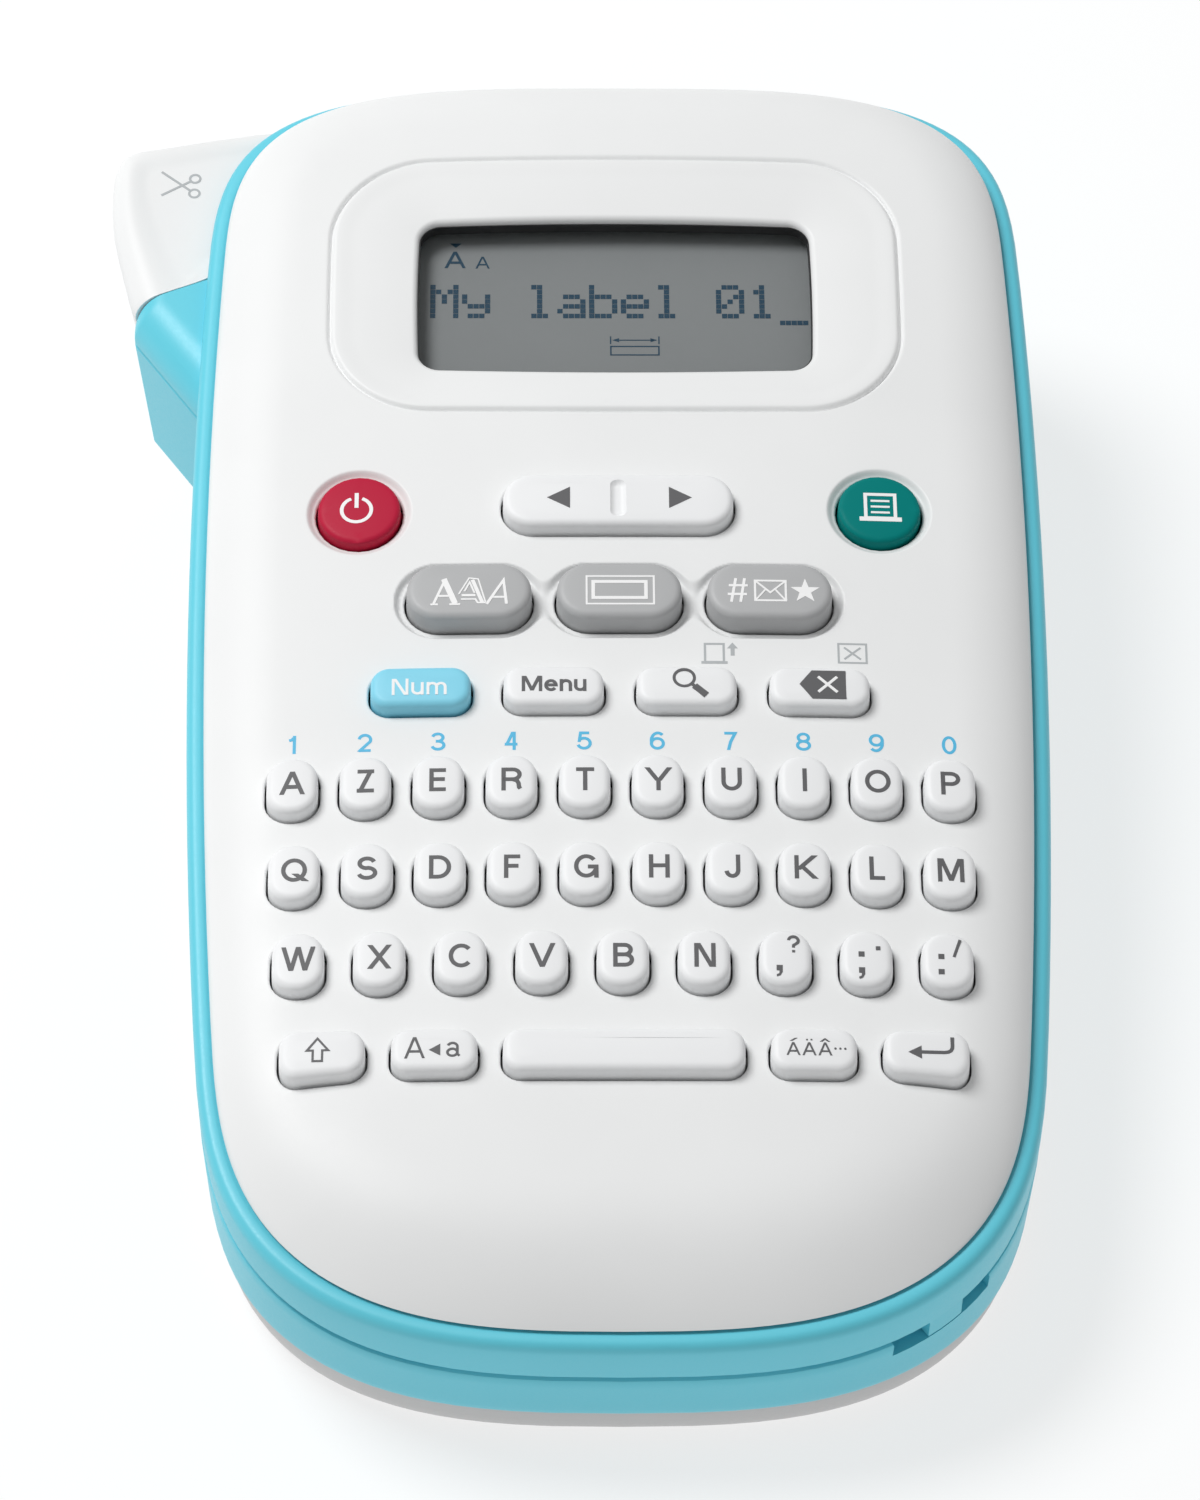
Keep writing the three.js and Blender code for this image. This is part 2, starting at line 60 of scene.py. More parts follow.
def new_material(name):
    material = bpy.data.materials.new(name)
    material.use_nodes = True
    nodes = material.node_tree.nodes
    return material, nodes, material.node_tree.links.new, nodes["Principled BSDF"]


def noise(nodes, link, scale, detail=2.0, stretch=None):
    """Noise in object coordinates, `scale` waves a metre."""
    coords = nodes.new("ShaderNodeTexCoord")
    texture = nodes.new("ShaderNodeTexNoise")
    texture.inputs["Scale"].default_value = scale
    texture.inputs["Detail"].default_value = detail
    if stretch:
        mapping = nodes.new("ShaderNodeMapping")
        mapping.inputs["Scale"].default_value = stretch
        link(coords.outputs["Object"], mapping.inputs["Vector"])
        link(mapping.outputs["Vector"], texture.inputs["Vector"])
    else:
        link(coords.outputs["Object"], texture.inputs["Vector"])
    return texture.outputs["Fac"]


def spread(nodes, link, value, low, high):
    node = nodes.new("ShaderNodeMapRange")
    node.inputs["From Min"].default_value = 0.3
    node.inputs["From Max"].default_value = 0.7
    node.inputs["To Min"].default_value = low
    node.inputs["To Max"].default_value = high
    link(value, node.inputs["Value"])
    return node.outputs["Result"]


def blend_colours(nodes, link, factor, first, second):
    node = nodes.new("ShaderNodeMix")
    node.data_type = "RGBA"
    for socket, colour in ((6, first), (7, second)):
        if isinstance(colour, bpy.types.NodeSocket):
            link(colour, node.inputs[socket])
        else:
            node.inputs[socket].default_value = (*colour, 1)
    link(factor, node.inputs["Factor"])
    return node.outputs[2]


def linear(red, green, blue):
    """Linear colour of an sRGB one from 0 to 255."""
    return tuple(((c / 255 + 0.055) / 1.055) ** 2.4 if c > 10 else c / 255 / 12.92
                 for c in (red, green, blue))


def surface(name, rgb, rough=0.4, grain=3200, bump=0.1, depth=0.02, mottle=0.035, spread_r=0.05,
            metallic=0.0, specular=0.5, stretch=None):
    """Moulded or painted surface: fine grain, faint clouds of tone and roughness."""
    material, nodes, link, shader = new_material(name)
    colour = linear(*rgb)
    clouds = noise(nodes, link, 45, 3.0)
    dark = tuple(c * (1 - mottle) for c in colour)
    light = tuple(min(1.0, c * (1 + mottle)) for c in colour)
    link(blend_colours(nodes, link, clouds, dark, light), shader.inputs["Base Color"])
    texture = noise(nodes, link, grain, 3.0, stretch)
    link(spread(nodes, link, texture, rough - spread_r, rough + spread_r),
         shader.inputs["Roughness"])
    relief = nodes.new("ShaderNodeBump")
    relief.inputs["Strength"].default_value = bump
    relief.inputs["Distance"].default_value = depth * MM
    link(texture, relief.inputs["Height"])
    link(relief.outputs["Normal"], shader.inputs["Normal"])
    shader.inputs["Metallic"].default_value = metallic
    shader.inputs["Specular IOR Level"].default_value = specular
    return material


WHITE_ABS = surface("white_abs", (236, 237, 237), rough=0.46, bump=0.08, specular=0.35)
BACK_ABS = surface("back_abs", (204, 203, 203), rough=0.45, bump=0.25, depth=0.04, grain=1800)
BLUE_ABS = surface("blue_abs", (99, 205, 224), rough=0.42, bump=0.1)
WHITE_RUBBER = surface("white_rubber", (238, 239, 240), rough=0.5, grain=5200, bump=0.12)
BLUE_RUBBER = surface("blue_rubber", (134, 214, 237), rough=0.5, grain=5200, bump=0.12)
GREY_RUBBER = surface("grey_rubber", (178, 179, 180), rough=0.5, grain=5200, bump=0.12)
RED_RUBBER = surface("red_rubber", (186, 26, 60), rough=0.5, grain=5200, bump=0.12, specular=0.2)
GREEN_RUBBER = surface("green_rubber", (0, 124, 120), rough=0.5, grain=5200, bump=0.12,
                       specular=0.08)
DARK_INK = surface("dark_ink", (92, 92, 94), rough=0.5, bump=0.05)
WHITE_INK = surface("white_ink", (244, 244, 244), rough=0.5, bump=0.05)
BLUE_INK = surface("blue_ink", (82, 184, 224), rough=0.5, bump=0.05)
PALE_INK = surface("pale_ink", (176, 180, 182), rough=0.5, bump=0.05)
BEZEL = surface("bezel_black", (30, 31, 32), rough=0.5)
LCD_DOT = surface("lcd_dot", (28, 66, 88), rough=0.4, bump=0.05)
STEEL = surface("steel", (190, 192, 195), rough=0.28, metallic=1.0, grain=900,
                stretch=(1, 0.05, 1))
BLACK_RUBBER = surface("black_rubber", (34, 35, 37), rough=0.75, bump=0.4, depth=0.05)
CREAM = surface("cream_pom", (228, 222, 206), rough=0.42)
CASSETTE = surface("cassette_abs", (214, 213, 206), rough=0.45)


# --------------------------------------------------------------- mesh helpers

def add_object(name, verts, faces, material, body, matrix=FACE, replaces=(), slot=None,
               sharp=30.0, normals=None):
    mesh = bpy.data.meshes.new(name)
    mesh.from_pydata([tuple(v) for v in verts], [], [tuple(f) for f in faces])
    mesh.transform(matrix)
    mesh.polygons.foreach_set("use_smooth", [True] * len(mesh.polygons))
    if normals is None:
        mesh.set_sharp_from_angle(angle=math.radians(sharp))
    else:
        turn = np.array(matrix.to_3x3().normalized())
        mesh.normals_split_custom_set_from_vertices((np.array(normals) @ turn.T).tolist())
    mesh.materials.append(material)
    obj = bpy.data.objects.new(name, mesh)
    bpy.context.scene.collection.objects.link(obj)
    if body:
        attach(obj, body)
    if replaces:
        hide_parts(*replaces)
    return obj


def loft(rings):
    """Closed body through rings [(points, z)], lowest first; z is a number or f(x, y)."""
    count = len(rings[0][0])
    verts = [(x, y, z(x, y) if callable(z) else z) for points, z in rings for x, y in points]
    faces = [(k * count + i, k * count + (i + 1) % count, (k + 1) * count + (i + 1) % count,
              (k + 1) * count + i) for k in range(len(rings) - 1) for i in range(count)]
    last = (len(rings) - 1) * count
    faces.append(tuple(reversed(range(count))))
    faces.append(tuple(range(last, last + count)))
    return verts, faces


def prism(points, low, high):
    return loft([(points, low), (points, high)])


def rounded(w, h, r, grow=0.0, corner=8, step=2.5, centre=(0, 0)):
    """Rounded rectangle as a loop, its straight sides split into spans of about `step`."""
    flat_x = max(1, round((w - 2 * r) / step))
    flat_y = max(1, round((h - 2 * r) / step))
    r = max(r + grow, 0.05)
    hx, hy = w / 2 + grow, h / 2 + grow
    r = min(r, hx, hy)
    points = []
    for quarter, (px, py) in enumerate(((hx - r, r - hy), (hx - r, hy - r),
                                        (r - hx, hy - r), (r - hx, r - hy))):
        for k in range(corner + 1):
            a = math.pi / 2 * (quarter - 1 + k / corner)
            points.append((px + r * math.cos(a), py + r * math.sin(a)))
    full = []
    for i, a in enumerate(points):
        b = points[(i + 1) % len(points)]
        full.append(a)
        if i % (corner + 1) == corner:
            spans = flat_y if (i // (corner + 1)) % 2 == 0 else flat_x
            full += [(a[0] + (b[0] - a[0]) * k / spans, a[1] + (b[1] - a[1]) * k / spans)
                     for k in range(1, spans)]
    return [(x + centre[0], y + centre[1]) for x, y in full]


def circle(x, y, r, steps=48):
    return [(x + r * math.cos(2 * math.pi * i / steps), y + r * math.sin(2 * math.pi * i / steps))
            for i in range(steps)]


def combine(name, first, others):
    """first, then ('UNION' or 'DIFFERENCE', part) steps, as plain mesh data."""
    def temporary(data):
        mesh = bpy.data.meshes.new("part")
        mesh.from_pydata([tuple(v) for v in data[0]], [], [tuple(f) for f in data[1]])
        obj = bpy.data.objects.new("part", mesh)
        bpy.context.scene.collection.objects.link(obj)
        return obj
    base = temporary(first)
    spare = [base]
    for operation, data in others:
        tool = temporary(data)
        spare.append(tool)
        step = base.modifiers.new("step", "BOOLEAN")
        step.operation = operation
        step.object = tool
        step.solver = "MANIFOLD"
    bpy.context.view_layer.update()
    result = base.evaluated_get(bpy.context.evaluated_depsgraph_get()).to_mesh()
    verts = [tuple(v.co) for v in result.vertices]
    faces = [tuple(p.vertices) for p in result.polygons]
    if not faces:
        raise RuntimeError(f"{name}: the parts left nothing")
    for obj in spare:
        bpy.data.objects.remove(obj)
    return verts, faces


# ---------------------------------------------------------------- body outline

HALF_WIDTH, WIDEST_Y, SIDE_RADIUS = 49.3, 34.0, 950.0
TOP_END = (72.0, 102.5, 3.7, 0.0)          # start, end, corner power, bulge
LOW_END = (-32.0, -72.8, 3.3, 0.001)
END_INSET, TOP_TUCK = 18.0, 2.5
PARTING_Z, GAP = -13.0, 0.3


def half_width(y, inset=0.0):
    return HALF_WIDTH - inset - (y - WIDEST_Y) ** 2 / (2 * SIDE_RADIUS)


def outline(inset=0.0, tuck=0.0, steps=26):
    low = min(inset, END_INSET)

    def corner(end_of, pull, k):
        start, end, power, bulge = end_of
        a = math.pi / 2 * k / steps
        across = math.cos(a) ** (2 / power)
        inwards = math.copysign(1, start - end)
        tip = end + inwards * (pull + bulge * (half_width(start, inset) * across) ** 2)
        y = start + (tip - start) * math.sin(a) ** (2 / power)
        return half_width(y, inset) * across, y

    right = [corner(LOW_END, low, k) for k in range(steps - 1, 0, -1)]
    sides = 17
    for i in range(sides + 1):
        y = LOW_END[0] + (TOP_END[0] - LOW_END[0]) * i / sides
        right.append((half_width(y, inset), y))
    right += [corner(TOP_END, low + tuck, k) for k in range(1, steps)]
    left = [(-x, y) for x, y in reversed(right)]
    return [(0, LOW_END[1] + low), *right, (0, TOP_END[1] - low - tuck), *left]


def base_z(y):
    return BASE_AT_ORIGIN - y * math.tan(TILT)


# ------------------------------------------------------------------------ keys

def box_distance(x, y, shape, grow=0.0):
    cx, cy, w, h, r = shape
    qx = np.abs(x - cx) - (w / 2 - r)
    qy = np.abs(y - cy) - (h / 2 - r)
    outside = np.hypot(np.maximum(qx, 0), np.maximum(qy, 0))
    return outside + np.minimum(np.maximum(qx, qy), 0) - r - grow


ROUND, SOFT = ("power", "print"), ("style", "frame", "symbol")
FLANGE = 0.6
LETTER_R = 2.7
CORNER_R = {"num": 2.2, "menu": 2.2, "preview": 2.2, "backspace": 2.2, "style": 3.8,
            "frame": 3.8, "symbol": 3.8, "shift": 2.1, "caps": 2.1, "space": 2.1,
            "accent": 2.1, "enter": 2.1, "cursor": 3.5, "power": 4.8, "print": 4.8}
SLANT = {"shift": -0.7, "enter": 0.7}      # drop of the lower edge, towards one side
KEY_LOOK = {"power": RED_RUBBER, "print": GREEN_RUBBER, "num": BLUE_RUBBER,
            "style": GREY_RUBBER, "frame": GREY_RUBBER, "symbol": GREY_RUBBER}
KEY_SLOT = {"power": "red_key", "print": "green_key", "num": "blue_key",
            "style": "grey_key", "frame": "grey_key", "symbol": "grey_key"}


def crowned(x):
    """Fall of the face towards its long sides."""
    return 0.85 * (np.abs(x) / 36) ** 2.5


def slanted(x, y, key, back=False):
    """Moves y of points below a key's middle down with its slanting lower edge."""
    share = np.clip(0.5 + np.sign(key.slant) * (x - key.x) / key.w, 0, 1)
    stretch = 1 + 2 * abs(key.slant) * share / key.h
    v = y - key.y
    return key.y + np.where(v < 0, v / stretch if back else v * stretch, v)


class Key:
    def __init__(self, node):
        self.name = node[len("key_"):]
        self.body = node
        low, high = face_box(node)
        self.x, self.y = (low[0] + high[0]) / 2, (low[1] + high[1]) / 2
        self.slant = SLANT.get(self.name, 0)
        self.y += abs(self.slant) / 2
        self.w = high[0] - low[0] - 2 * FLANGE
        self.h = high[1] - low[1] - 2 * FLANGE - abs(self.slant)
        self.r = CORNER_R.get(self.name, LETTER_R)
        self.top = high[2] + crowned(max(0, abs(self.x) - self.w / 2 + 0.55))
        self.low = -4.2

    def loop(self, grow, corner=8, step=2.5):
        points = rounded(self.w, self.h, self.r, grow, corner, step, (self.x, self.y))
        return [(x, float(slanted(x, y, self))) for x, y in points]

    def distance(self, x, y, grow=0.0):
        """Distance of points outside the key's outline grown by `grow`."""
        return box_distance(x, slanted(x, y, self, back=True),
                            (self.x, self.y, self.w, self.h, self.r), grow)


KEYS = {n[4:]: Key(n) for n in sorted(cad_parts) if n.startswith("key_")}


def key_cap(key):
    """Cap with a soft top edge, a nearly flat top and the flange under the cover."""
    edge = 0.75 if key.name in ROUND else 0.9
    drop = 0.55 if key.name in ROUND else 0.8
    profile = [(FLANGE, key.low), (FLANGE, -3.55), (FLANGE - 0.05, -3.5), (0.0, -3.5),
               (0.0, -1.2)]
    wall_top = key.top - drop - 0.06
    profile.append((-0.06, wall_top))
    for k in range(1, 9):
        a = math.pi / 2 * k / 8
        profile.append((-0.06 - edge * (1 - math.cos(a)), wall_top + drop * math.sin(a)))
    profile.append((-0.06 - edge - 0.6, key.top))
    rings = []
    for grow, z in profile:
        rings.append((key.loop(grow), lambda x, y, z=z: z - crowned(x)))
    verts, faces = loft(rings)
    if key.name == "cursor":
        dent = [(rounded(1.9, 5.3, 0.9, grow, 8, 2, (key.x, key.y)), z)
                for grow, z in ((-0.75, key.top - 0.42), (-0.55, key.top - 0.4),
                                (-0.3, key.top - 0.28), (-0.1, key.top - 0.1),
                                (0.0, key.top), (0.1, key.top + 0.5))]
        verts, faces = combine("cursor", (verts, faces), [("DIFFERENCE", loft(dent))])
    look = KEY_LOOK.get(key.name, WHITE_RUBBER)
    add_object(f"cap_{key.name}", verts, faces, look, key.body, replaces=[key.body],
               slot=KEY_SLOT.get(key.name, "white_key"),
               sharp=20 if key.name == "cursor" else 50)


for item in KEYS.values():
    key_cap(item)


# ----------------------------------------------------------------- front cover

COVER_INSET, RIM_Z, WALL = 2.0, -6.0, 2.0
ROLL, ROLL_POWER = 9.0, 2.2
END_ROLL, END_FROM, END_TO = 16.0, -36.0, -66.0   # the border widens at the lower end
WINDOW = (0, 65.8, 46, 21.6, 2.4)
WINDOW_BOW = (0.55, 0.25)
DISH = (0, 66.95, 66.4, 36.9, 11.3)
DISH_BOW = (0.55, 0.35)
DISH_DEPTH, GROOVE_DEPTH, GROOVE_HALF = 0.85, 0.6, 0.4
RIDGE, RIDGE_IN, RIDGE_HALF, RIDGE_TAIL = 0.11, 0.72, 0.6, 2.2
KEY_CLEARANCE = 0.22
KEY_FILLET, WINDOW_FILLET = 0.32, 0.7
SOFT_GROW, SOFT_MERGE, SOFT_SLOPE, SOFT_DEEP = 1.5, 2.2, 0.7, 0.7
BUTTON_GROW, BUTTON_DEEP = 1.4, 0.75


def bow(points, shape, amount, back=False):
    """Pushes a shape's long (and short) sides out by `amount`; back takes it away."""
    cx, cy, w, h, _ = shape
    points = np.array(points, float)
    x, y = points[:, 0] - cx, points[:, 1] - cy
    u, v = x.copy(), y.copy()
    for _ in range(4 if back else 1):
        more_y = amount[0] * 2 / h * (1 - np.clip(u / (w / 2), -1, 1) ** 2)
        more_x = amount[1] * 2 / w * (1 - np.clip(v / (h / 2), -1, 1) ** 2)
        if back:
            u, v = x / (1 + more_x), y / (1 + more_y)
        else:
            u, v = x * (1 + more_x), y * (1 + more_y)
    return np.stack([u + cx, v + cy], 1)


def bowed_distance(x, y, shape, amount):
    flat = bow(np.stack([x, y], 1), shape, amount, back=True)
    return box_distance(flat[:, 0], flat[:, 1], shape)


def polygon_depth(x, y, polygon):
    """Distance of points from a closed polygon, positive inside it."""
    a = np.array(polygon, float)
    b = np.roll(a, -1, 0)
    best = np.full(len(x), 1e9)
    inside = np.zeros(len(x), bool)
    for (ax, ay), (bx, by) in zip(a, b):
        dx, dy = bx - ax, by - ay
        t = np.clip(((x - ax) * dx + (y - ay) * dy) / (dx * dx + dy * dy), 0, 1)
        best = np.minimum(best, np.hypot(x - ax - t * dx, y - ay - t * dy))
        crosses = (ay > y) != (by > y)
        if dy:
            inside ^= crosses & (x < ax + (y - ay) * dx / dy)
    return np.where(inside, best, -best)


COVER_EDGE = outline(COVER_INSET, steps=40)


def aperture_distance(x, y):
    return np.min([k.distance(x, y, KEY_CLEARANCE) for k in KEYS.values()], axis=0)


def soft_recess(x, y):
    """Distance outside the scalloped recess round the three soft grey keys."""
    parts = [KEYS[name].distance(x, y, SOFT_GROW) for name in SOFT]
    best = parts[0]
    for part in parts[1:]:
        h = np.clip(0.5 + 0.5 * (part - best) / SOFT_MERGE, 0, 1)
        best = part + (best - part) * h - SOFT_MERGE * h * (1 - h)
    return best


def smooth(t):
    t = np.clip(t, 0, 1)
    return t * t * (3 - 2 * t)


def quarter(distance, radius):
    """Drop of a rounded edge of that radius at a distance out from the edge."""
    q = np.clip(distance, 0, radius)
    return radius - np.sqrt(np.maximum(radius ** 2 - (radius - q) ** 2, 0))


def roll(d, y):
    """Share of the drop to the rim at a distance d in from the cover's edge."""
    side = 1 - np.sqrt(1 - np.clip(1 - d / ROLL, 0, 1) ** ROLL_POWER)
    end = np.clip(1 - d / END_ROLL, 0, 1) ** ROLL_POWER
    return side + (end - side) * smooth((END_FROM - y) / (END_FROM - END_TO))


def cover_height(x, y):
    x, y = np.asarray(x, float), np.asarray(y, float)
    d = polygon_depth(x, y, COVER_EDGE)
    z = -crowned(x) - (-RIM_Z - crowned(x)) * roll(np.maximum(d, 0), y)
    e = -bowed_distance(x, y, DISH, DISH_BOW)
    w = np.maximum(bowed_distance(x, y, WINDOW, WINDOW_BOW), 0)
    t = np.clip(e / np.maximum(e + w, 1e-6), 0, 1)
    z -= DISH_DEPTH * t ** 1.7
    z -= GROOVE_DEPTH * np.maximum(0, 1 - np.abs(e) / GROOVE_HALF) ** 1.3
    away = e - RIDGE_IN
    z += RIDGE * smooth(1 - np.where(away < 0, -away / RIDGE_HALF, away / RIDGE_TAIL))
    z -= SOFT_DEEP * smooth(-soft_recess(x, y) / SOFT_SLOPE)
    for name in ROUND:
        k = KEYS[name]
        share = 1 - (np.hypot(x - k.x, y - k.y) - k.r) / BUTTON_GROW
        z -= BUTTON_DEEP * 0.5 * (smooth(share) + smooth(share * 1.6))
    z -= quarter(aperture_distance(x, y), KEY_FILLET)
    return z - quarter(bowed_distance(x, y, WINDOW, WINDOW_BOW), WINDOW_FILLET)


def cover_under(x, y):
    d = polygon_depth(x, y, COVER_EDGE) - WALL
    z = -WALL - crowned(x) - (-RIM_Z - crowned(x)) * roll(np.maximum(d, 0), y)
    return np.maximum(z, RIM_Z)


def slopes(x, y, step=0.012):
    across = (cover_height(x + step, y) - cover_height(x - step, y)) / (2 * step)
    along = (cover_height(x, y + step) - cover_height(x, y - step)) / (2 * step)
    normal = np.stack([-across, -along, np.ones(len(x))], 1)
    return normal / np.linalg.norm(normal, axis=1)[:, None]


def front_cover():
    borders = [0, 0.04, 0.14, 0.32, 0.6, 1.0, 1.55, 2.3, 3.2, 4.2, 5.3]
    rings = [outline(COVER_INSET + d, steps=40) for d in borders]
    count = len(rings[0])
    points, edges = [], []

    def loop(ring):
        start = len(points)
        points.extend(tuple(map(float, p)) for p in ring)
        edges.extend((start + i, start + (i + 1) % len(ring)) for i in range(len(ring)))

    loop(rings[-1])
    for key in KEYS.values():
        for out in (0, 0.03, 0.1, 0.2, KEY_FILLET):
            loop(key.loop(KEY_CLEARANCE + out, 7, 1.6))
    for out in (0, 0.06, 0.2, 0.42, WINDOW_FILLET, 1.3):
        cx, cy, w, h, r = WINDOW
        loop(bow(rounded(w, h, r, out, 8, 1.5, (cx, cy)), WINDOW, WINDOW_BOW))
    for inward in (-0.6, -GROOVE_HALF, -0.15, 0, 0.15, GROOVE_HALF, 0.55, 0.72, 0.95, 1.3, 1.7,
                   2.2, 3.2):
        cx, cy, w, h, r = DISH
        loop(bow(rounded(w, h, r, -inward, 24, 1.0, (cx, cy)), DISH, DISH_BOW))
    for name in ROUND:
        k = KEYS[name]
        for out in (0.75, 0.95, 1.15, BUTTON_GROW, 1.6):
            loop(circle(k.x, k.y, k.r + out, 60))
    low, high = np.min(rings[-1], 0), np.max(rings[-1], 0)

    def lattice(step, keep):
        gx, gy = np.meshgrid(np.arange(low[0], high[0], step), np.arange(low[1], high[1], step))
        x, y = gx.ravel(), gy.ravel()
        clear = polygon_depth(x, y, rings[-1]) > 0.6
        clear &= aperture_distance(x, y) > KEY_FILLET + 0.25
        clear &= bowed_distance(x, y, WINDOW, WINDOW_BOW) > 1.5
        e = bowed_distance(x, y, DISH, DISH_BOW)
        clear &= (e > 0.8) | (e < -3.5)
        for name in ROUND:
            clear &= np.abs(np.hypot(x - KEYS[name].x, y - KEYS[name].y) - KEYS[name].r - 1.2) > 0.9
        clear &= keep(x, y)
        points.extend(zip(x[clear].tolist(), y[clear].tolist()))

    def close(x, y):
        return np.abs(soft_recess(x, y) + SOFT_SLOPE / 2) < 0.75

    lattice(1.7, lambda x, y: ~close(x, y))
    lattice(0.2, close)
    found, _, triangles, origins, _, _ = delaunay_2d_cdt(
        [Vector(p) for p in points], edges, [], 0, 1e-5)
    x = np.array([v.x for v in found])
    y = np.array([v.y for v in found])
    tri = np.array([list(t) for t in triangles])
    mx, my = x[tri].mean(1), y[tri].mean(1)
    keep = polygon_depth(mx, my, rings[-1]) > 0
    keep &= aperture_distance(mx, my) > 0
    keep &= bowed_distance(mx, my, WINDOW, WINDOW_BOW) > 0
    tri = tri[keep]
    index = {old: new for new, olds in enumerate(origins) for old in olds}
    inner = [index[i] for i in range(count)]
    starts = []
    for ring in rings[:-1]:
        starts.append(len(x))
        x = np.append(x, [p[0] for p in ring])
        y = np.append(y, [p[1] for p in ring])
    ids = [[s + i for i in range(count)] for s in starts] + [inner]
    faces = [tuple(t) for t in tri.tolist()]
    for outer, nearer in zip(ids, ids[1:]):
        faces += [(outer[i], outer[(i + 1) % count], nearer[(i + 1) % count], nearer[i])
                  for i in range(count)]
    total = len(x)
    rim = set(ids[0])
    below = [i if i in rim else i + total for i in range(total)]
    directed = {(f[i], f[(i + 1) % len(f)]) for f in faces for i in range(len(f))}
    walls = [(b, a, below[a], below[b]) for a, b in sorted(directed)
             if (b, a) not in directed and a not in rim]
    faces += [tuple(below[i] for i in reversed(f)) for f in faces] + walls
    height, under = cover_height(x, y), cover_under(x, y)
    normals = slopes(x, y)
    verts = np.concatenate([np.stack([x, y, height], 1), np.stack([x, y, under], 1)])
    down = np.tile([0.0, 0.0, -1.0], (total, 1))
    both = np.concatenate([normals, down])
    used = sorted({i for f in faces for i in f})
    order = {old: new for new, old in enumerate(used)}
    faces = [tuple(order[i] for i in f) for f in faces]
    add_object("front_shell", verts[used], faces, WHITE_ABS, "case", replaces=["front_cover"],
               slot="white_case", normals=both[used])


front_cover()


# --------------------------------------------- lever pocket, guard, strap anchor

LEVER_TOP, LEVER_BOTTOM = -8.2, -28.0
PIVOT = (-47.0, 71.5)
SWEEP = [(-63, 67.7), (-56.4, 70.5), (-47.6, 74.2), (-43.4, 76.5), (-38, 82), (-29.8, 84.5),
         (-29.8, 94), (-36.4, 94.5), (-36.4, 103), (-63, 103)]
LEVER_ROOM = prism(SWEEP, LEVER_BOTTOM - 0.6, LEVER_TOP + GAP)


GUARD_END = [(0.9, 2.6), (0.45, 2.4), (0.16, 2.05), (0.03, 1.6), (0, 1.0), (0, 0.4),
             (0.04, 0.06), (0.16, -0.23)]


def guard_ring(back, z, slip=0.0):
    x = -57.2 + 0.8 * back + 0.57 * slip
    y = 68 + 0.6 * back - 0.82 * slip
    meets = y - 1.43 * (-45.5 - x)
    corner = [(x + dx, y + dy) for dx, dy in GUARD_END]
    return [*corner, (-45.5, meets), (-45.5, 76.8)], z


STRAP_W, STRAP_H, STRAP_DEEP, STRAP_BAR = 4.5, 3.0, 3.6, 1.6
SLOTS = ((31.0, -67.1), (38.2, -61.4))
STRAP_PITCH = math.dist(*SLOTS)


def strap_block(width, low, high, bottom, top):
    mx, my = (SLOTS[0][0] + SLOTS[1][0]) / 2, (SLOTS[0][1] + SLOTS[1][1]) / 2
    c = (SLOTS[1][0] - SLOTS[0][0]) / STRAP_PITCH
    s = (SLOTS[1][1] - SLOTS[0][1]) / STRAP_PITCH
    corners = [(-width / 2, low), (width / 2, low), (width / 2, high), (-width / 2, high)]
    return prism([(mx + u * c - v * s, my + u * s + v * c) for u, v in corners], bottom, top)


def fillet(start, end, steps=5):
    """Quarter round from a wall point to a top point, as (inset, z) pairs."""
    (i0, z0), (i1, z1) = start, end
    return [(i0 + (i1 - i0) * (1 - math.cos(math.pi / 2 * k / steps)),
             z0 + (z1 - z0) * math.sin(math.pi / 2 * k / steps)) for k in range(1, steps + 1)]


def upper_case():
    profile = [(0.6, PARTING_Z), (0.32, -12.92), (0.12, -12.65), (0.04, -11), (0, -9.4)]
    profile += [(0, -7.85), *fillet((0, -7.75), (1.1, -6.38), 8), (1.6, -6.34), (1.75, -6.38),
                (1.88, -6.42), (2.25, -6.42)]
    shell = loft([(outline(i), z) for i, z in profile])
    guard = loft([guard_ring(0, PARTING_Z), guard_ring(0, -12.6)]
                 + [guard_ring(i, z) for i, z in fillet((0, -12.6), (4.8, -8.15), 16)])
    hollow = loft([(outline(2.4), PARTING_Z - 1), (outline(2.4), -7.9), (outline(4.2), -7.8),
                   (outline(4.2), -5)])
    bar = strap_block(STRAP_PITCH - STRAP_W, -4, STRAP_BAR, PARTING_Z - STRAP_H + GAP,
                      PARTING_Z + 1)
    beyond = combine("beyond", prism([(20, -80), (60, -80), (60, -40), (20, -40)], -20, -5),
                     [("DIFFERENCE", prism(outline(0.15), -21, -4))])
    bar = combine("bar", bar, [("DIFFERENCE", beyond)])
    data = combine("upper_case", shell, [("UNION", guard), ("DIFFERENCE", hollow),
                                         ("DIFFERENCE", LEVER_ROOM), ("UNION", bar)])
    add_object("upper_shell", *data, BLUE_ABS, "case", replaces=["upper_case"],
               slot="blue_case", sharp=32)


